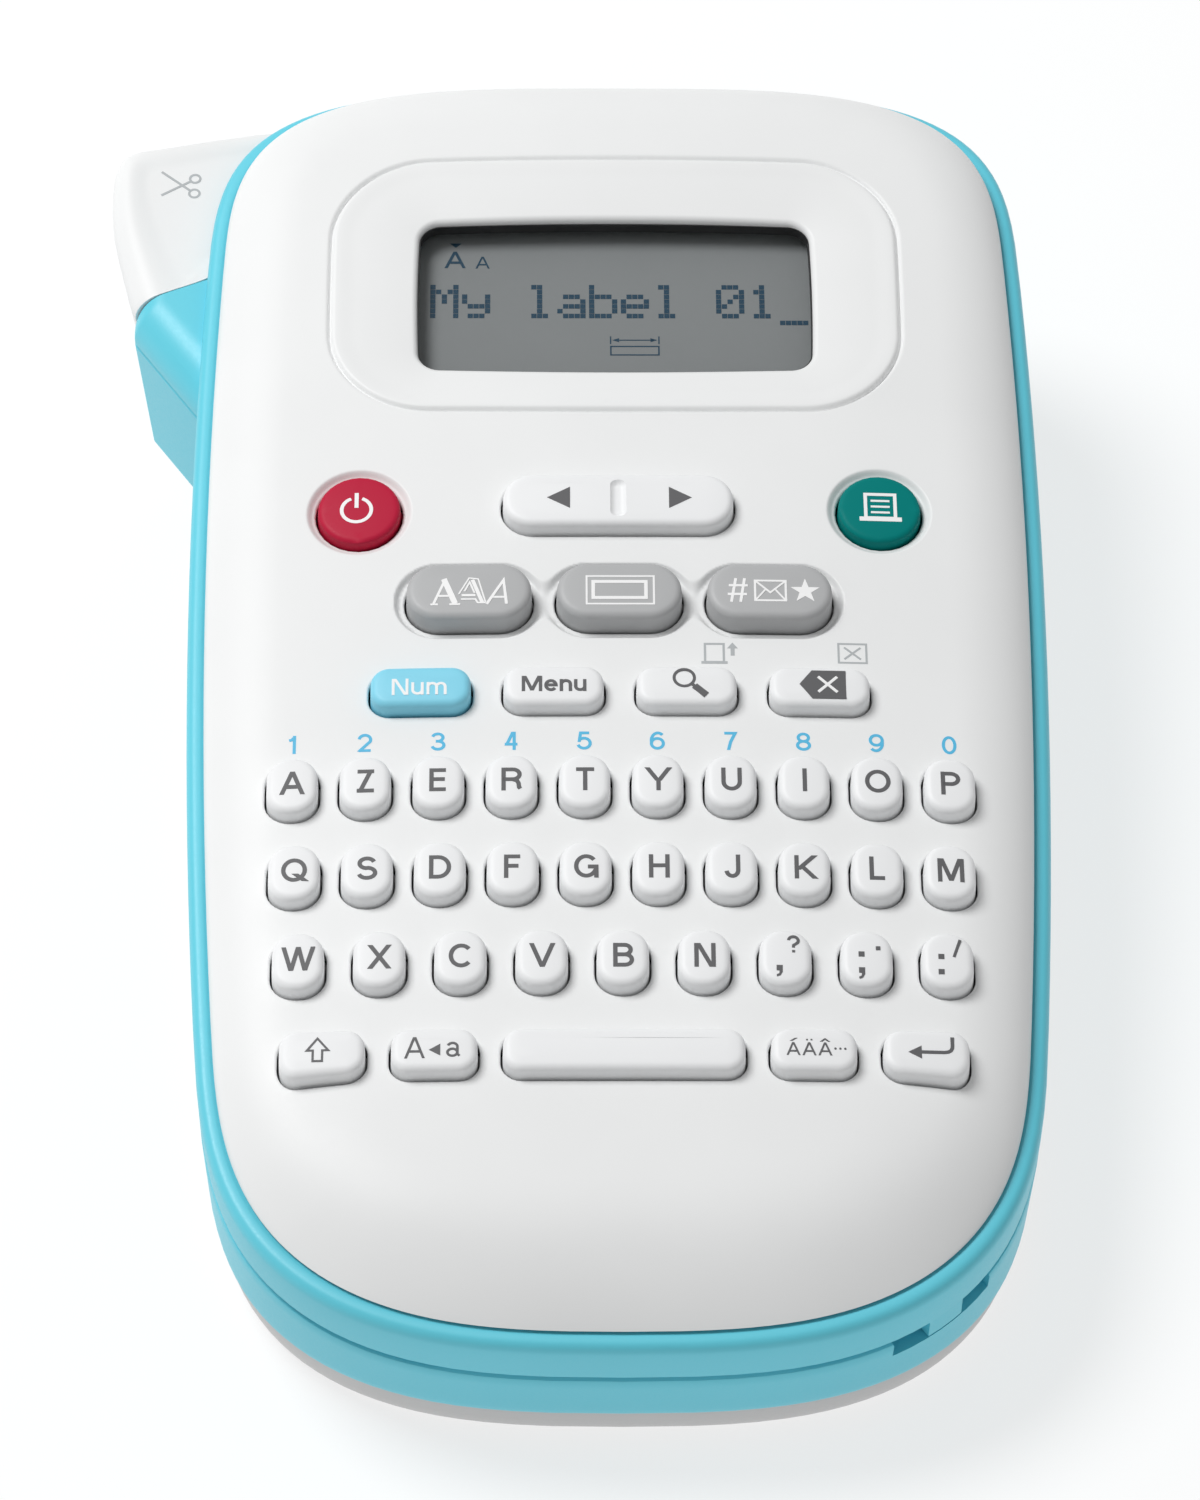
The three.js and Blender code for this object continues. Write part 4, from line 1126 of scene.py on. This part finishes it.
ink = Ink("lcd_dots", LCD_DOT, "case", "lcd", height=lambda x, y: LCD_Z, lift=0.02)


def dots(column, row, span=1):
    x, y = LCD_LEFT + column, LCD_TOP - row * DOT_Y
    ink.plate([(x, y - DOT_Y + DOT_GAP), (x + span * DOT_X - DOT_GAP, y - DOT_Y + DOT_GAP),
               (x + span * DOT_X - DOT_GAP, y), (x, y)])


for place, letter in enumerate("My label 01"):
    for row, bits in enumerate(GLYPHS[letter].split()):
        for column, bit in enumerate(bits):
            if bit == "1":
                dots(place * LCD_PITCH + column * DOT_X, row)
for column in range(5):
    dots(11 * LCD_PITCH + column * DOT_X, 7.4)
ink.text("A", -18.9, 72.66, 2.5, 0.36, width=2.35)
ink.text("A", -15.63, 72.6, 1.8, 0.22, width=1.6)
ink.plate([(-19.5, 76.4), (-18.83, 75.75), (-18.15, 76.4)])
ink.line([(-0.48, 59.58), (5.18, 59.58), (5.18, 60.85), (-0.48, 60.85)], 0.18, closed=True)
ink.line([(0.1, 61.79), (4.6, 61.79)], 0.14)
for x, way in ((-0.5, 1), (5.2, -1)):
    ink.line([(x, 61.2), (x, 62.35)], 0.16)
    ink.plate([(x + 0.2 * way, 61.79), (x + 1.0 * way, 61.79 - 0.3 * way),
               (x + 1.0 * way, 61.79 + 0.3 * way)])
ink.build()


def window_ring(name, outset, inset, low, high, look, slot):
    cx, cy, w, h, r = WINDOW
    loops = [bow(rounded(w, h, r, g, 8, 2, (cx, cy)), WINDOW, WINDOW_BOW).tolist()
             for g in (outset, -inset)]
    n = len(loops[0])
    verts = [(x, y, z) for z in (low, high) for loop in loops for x, y in loop]
    faces = []
    for i in range(n):
        j = (i + 1) % n
        faces += [(2 * n + i, 2 * n + j, 3 * n + j, 3 * n + i), (j, i, n + i, n + j),
                  (i, j, 2 * n + j, 2 * n + i), (n + j, n + i, 3 * n + i, 3 * n + j)]
    add_object(name, verts, faces, look, "case", slot=slot)


window_ring("window_gasket", -0.04, 0.14, -3.06, -1.7, BEZEL, "black_rubber")


# ----------------------------------------------------- carried-over CAD nodes

def dress(node, look):
    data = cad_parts[node].data
    if "custom_normal" in data.attributes:
        data.attributes.remove(data.attributes["custom_normal"])
    data.polygons.foreach_set("use_smooth", [True] * len(data.polygons))
    data.set_sharp_from_angle(angle=math.radians(30))
    data.materials.clear()
    data.materials.append(look)


def lcd_look():
    look = surface("lcd_glass", (136, 140, 141), rough=0.42, grain=2600, bump=0.15, mottle=0.05)
    return look


def glass_look():
    material, nodes, link, shader = new_material("clear_window")
    shader.inputs["Base Color"].default_value = (0.02, 0.025, 0.025, 1)
    shader.inputs["Alpha"].default_value = 0.05
    texture = noise(nodes, link, 300, 2.0)
    link(spread(nodes, link, texture, 0.03, 0.07), shader.inputs["Roughness"])
    return material


def board_look():
    """Green solder mask over copper tracks, with pale pads."""
    material, nodes, link, shader = new_material("circuit_board")
    coords = nodes.new("ShaderNodeTexCoord")
    tracks = nodes.new("ShaderNodeTexBrick")
    tracks.inputs["Scale"].default_value = 220
    tracks.inputs["Mortar Size"].default_value = 0.06
    tracks.inputs["Color1"].default_value = (0.012, 0.12, 0.06, 1)
    tracks.inputs["Color2"].default_value = (0.01, 0.1, 0.05, 1)
    tracks.inputs["Mortar"].default_value = (0.03, 0.24, 0.1, 1)
    link(coords.outputs["Object"], tracks.inputs["Vector"])
    spots = nodes.new("ShaderNodeTexVoronoi")
    spots.inputs["Scale"].default_value = 420
    link(coords.outputs["Object"], spots.inputs["Vector"])
    pads = nodes.new("ShaderNodeMath")
    pads.operation = "LESS_THAN"
    pads.inputs[1].default_value = 0.22
    link(spots.outputs["Distance"], pads.inputs[0])
    link(blend_colours(nodes, link, pads.outputs[0], tracks.outputs["Color"], (0.55, 0.5, 0.38)),
         shader.inputs["Base Color"])
    link(spread(nodes, link, noise(nodes, link, 500), 0.3, 0.45), shader.inputs["Roughness"])
    return material


def cell_look():
    """Two cells in each row: a dark sleeve with a copper-coloured band and bare ends."""
    material, nodes, link, shader = new_material("cell_sleeve")
    coords = nodes.new("ShaderNodeTexCoord")
    axis = Vector(TO_FACE.to_3x3().normalized().row[1])
    along = nodes.new("ShaderNodeVectorMath")
    along.operation = "DOT_PRODUCT"
    along.inputs[1].default_value = axis
    link(coords.outputs["Object"], along.inputs[0])
    low, high = face_box("battery_row_left")
    start = (FACE @ Vector((0, low[1], -17.6))).dot(axis)
    length = (high[1] - low[1]) / 2 * MM
    share = nodes.new("ShaderNodeMath")
    share.operation = "SUBTRACT"
    share.inputs[1].default_value = start
    link(along.outputs["Value"], share.inputs[0])
    turns = nodes.new("ShaderNodeMath")
    turns.operation = "MULTIPLY"
    turns.inputs[1].default_value = 1 / length
    link(share.outputs[0], turns.inputs[0])
    part = nodes.new("ShaderNodeMath")
    part.operation = "FRACT"
    link(turns.outputs[0], part.inputs[0])
    ramp = nodes.new("ShaderNodeValToRGB")
    ramp.color_ramp.interpolation = "CONSTANT"
    stops = [(0.0, (0.55, 0.55, 0.56)), (0.03, (0.03, 0.035, 0.04)), (0.66, (0.5, 0.2, 0.07)),
             (0.94, (0.03, 0.035, 0.04)), (0.97, (0.6, 0.6, 0.61))]
    while len(ramp.color_ramp.elements) < len(stops):
        ramp.color_ramp.elements.new(0.5)
    for element, (place, colour) in zip(ramp.color_ramp.elements, stops):
        element.position = place
        element.color = (*colour, 1)
    link(part.outputs[0], ramp.inputs["Fac"])
    link(ramp.outputs["Color"], shader.inputs["Base Color"])
    link(spread(nodes, link, noise(nodes, link, 900), 0.2, 0.32), shader.inputs["Roughness"])
    shader.inputs["Metallic"].default_value = 0.6
    return material


def plate_piece(name, node, look, slot, radius):
    """Flat plate with a small chamfer in the place of a CAD node."""
    low, high = face_box(node)
    size = high - low
    centre = ((low[0] + high[0]) / 2, (low[1] + high[1]) / 2)
    loops = [(rounded(size[0], size[1], radius, grow, 8, 4, centre), z)
             for grow, z in ((-0.1, low[2]), (0, low[2] + 0.1), (0, high[2] - 0.1),
                             (-0.1, high[2]))]
    add_object(name, *loft(loops), look, "case", replaces=[node], slot=slot)


plate_piece("window_pane", "display_window", glass_look(), "window", 4.2)
plate_piece("lcd_panel", "display_panel", lcd_look(), "lcd", 4.2)
dress("circuit_board", board_look())
for node in ("battery_row_left", "battery_row_right"):
    dress(node, cell_look())
for node, look in (("platen_roller", BLACK_RUBBER), ("print_head", STEEL), ("feed_gear", CREAM),
                   ("feed_motor", STEEL), ("tape_cassette", CASSETTE), ("cutter_blade", STEEL)):
    dress(node, look)


# ----------------------------------------------------------- camera, light, floor

camera = bpy.data.objects.new("camera", bpy.data.cameras.new("camera"))
bpy.context.scene.collection.objects.link(camera)
bpy.context.scene.camera = camera
camera.data.lens, camera.data.sensor_width = 150, 36
camera.data.clip_start, camera.data.clip_end = 0.05, 10
ELEVATION, AZIMUTH, ROLL_ANGLE, DISTANCE = (math.radians(55.4), math.radians(-1.2),
                                            math.radians(1.0), 698.0)
back = Vector((math.sin(AZIMUTH) * math.cos(ELEVATION), -math.cos(AZIMUTH) * math.cos(ELEVATION),
               math.sin(ELEVATION)))
right = (-back).cross(Vector((0, 0, 1))).normalized()
up = right.cross(-back)
axis_x = right * math.cos(ROLL_ANGLE) + up * math.sin(ROLL_ANGLE)
axis_y = up * math.cos(ROLL_ANGLE) - right * math.sin(ROLL_ANGLE)
turn = Matrix((axis_x, axis_y, back)).transposed().to_4x4()
seat = Matrix.Translation(Vector((-2.2, 0, 0)) + back * DISTANCE)
camera.matrix_world = Matrix.Translation((FACE @ (seat @ Vector((0, 0, 0))))) @ (
    FACE.to_3x3().normalized().to_4x4() @ turn)


def area_light(name, place, size, power, aim=(0, 0, 0.02)):
    lamp = bpy.data.lights.new(name, "AREA")
    lamp.shape = "DISK"
    lamp.size = size
    lamp.energy = power
    obj = bpy.data.objects.new(name, lamp)
    bpy.context.scene.collection.objects.link(obj)
    obj.location = place
    obj.rotation_euler = (Vector(aim) - Vector(place)).to_track_quat("-Z", "Y").to_euler()


area_light("key_light", (-0.52, 0.26, 1.0), 0.55, 9.6)
world = bpy.data.worlds.new("studio")
world.use_nodes = True
world.node_tree.nodes["Background"].inputs["Color"].default_value = (1, 1, 1, 1)
world.node_tree.nodes["Background"].inputs["Strength"].default_value = 0.37
bpy.context.scene.world = world
bpy.context.scene.view_settings.view_transform = "Standard"

floor_look = surface("studio_floor", (150, 151, 151), rough=0.9, grain=60, bump=0.0, mottle=0.004,
                     specular=0.1)
floor_shader = floor_look.node_tree.nodes["Principled BSDF"]
floor_shader.inputs["Emission Color"].default_value = (1, 1, 1, 1)
floor_shader.inputs["Emission Strength"].default_value = 0.7
size = 3.0
floor = add_object("studio_floor", [(-size, -size, 0), (size, -size, 0), (size, size, 0),
                                    (-size, size, 0)], [(0, 1, 2, 3)], floor_look, None,
                   matrix=Matrix.Identity(4))
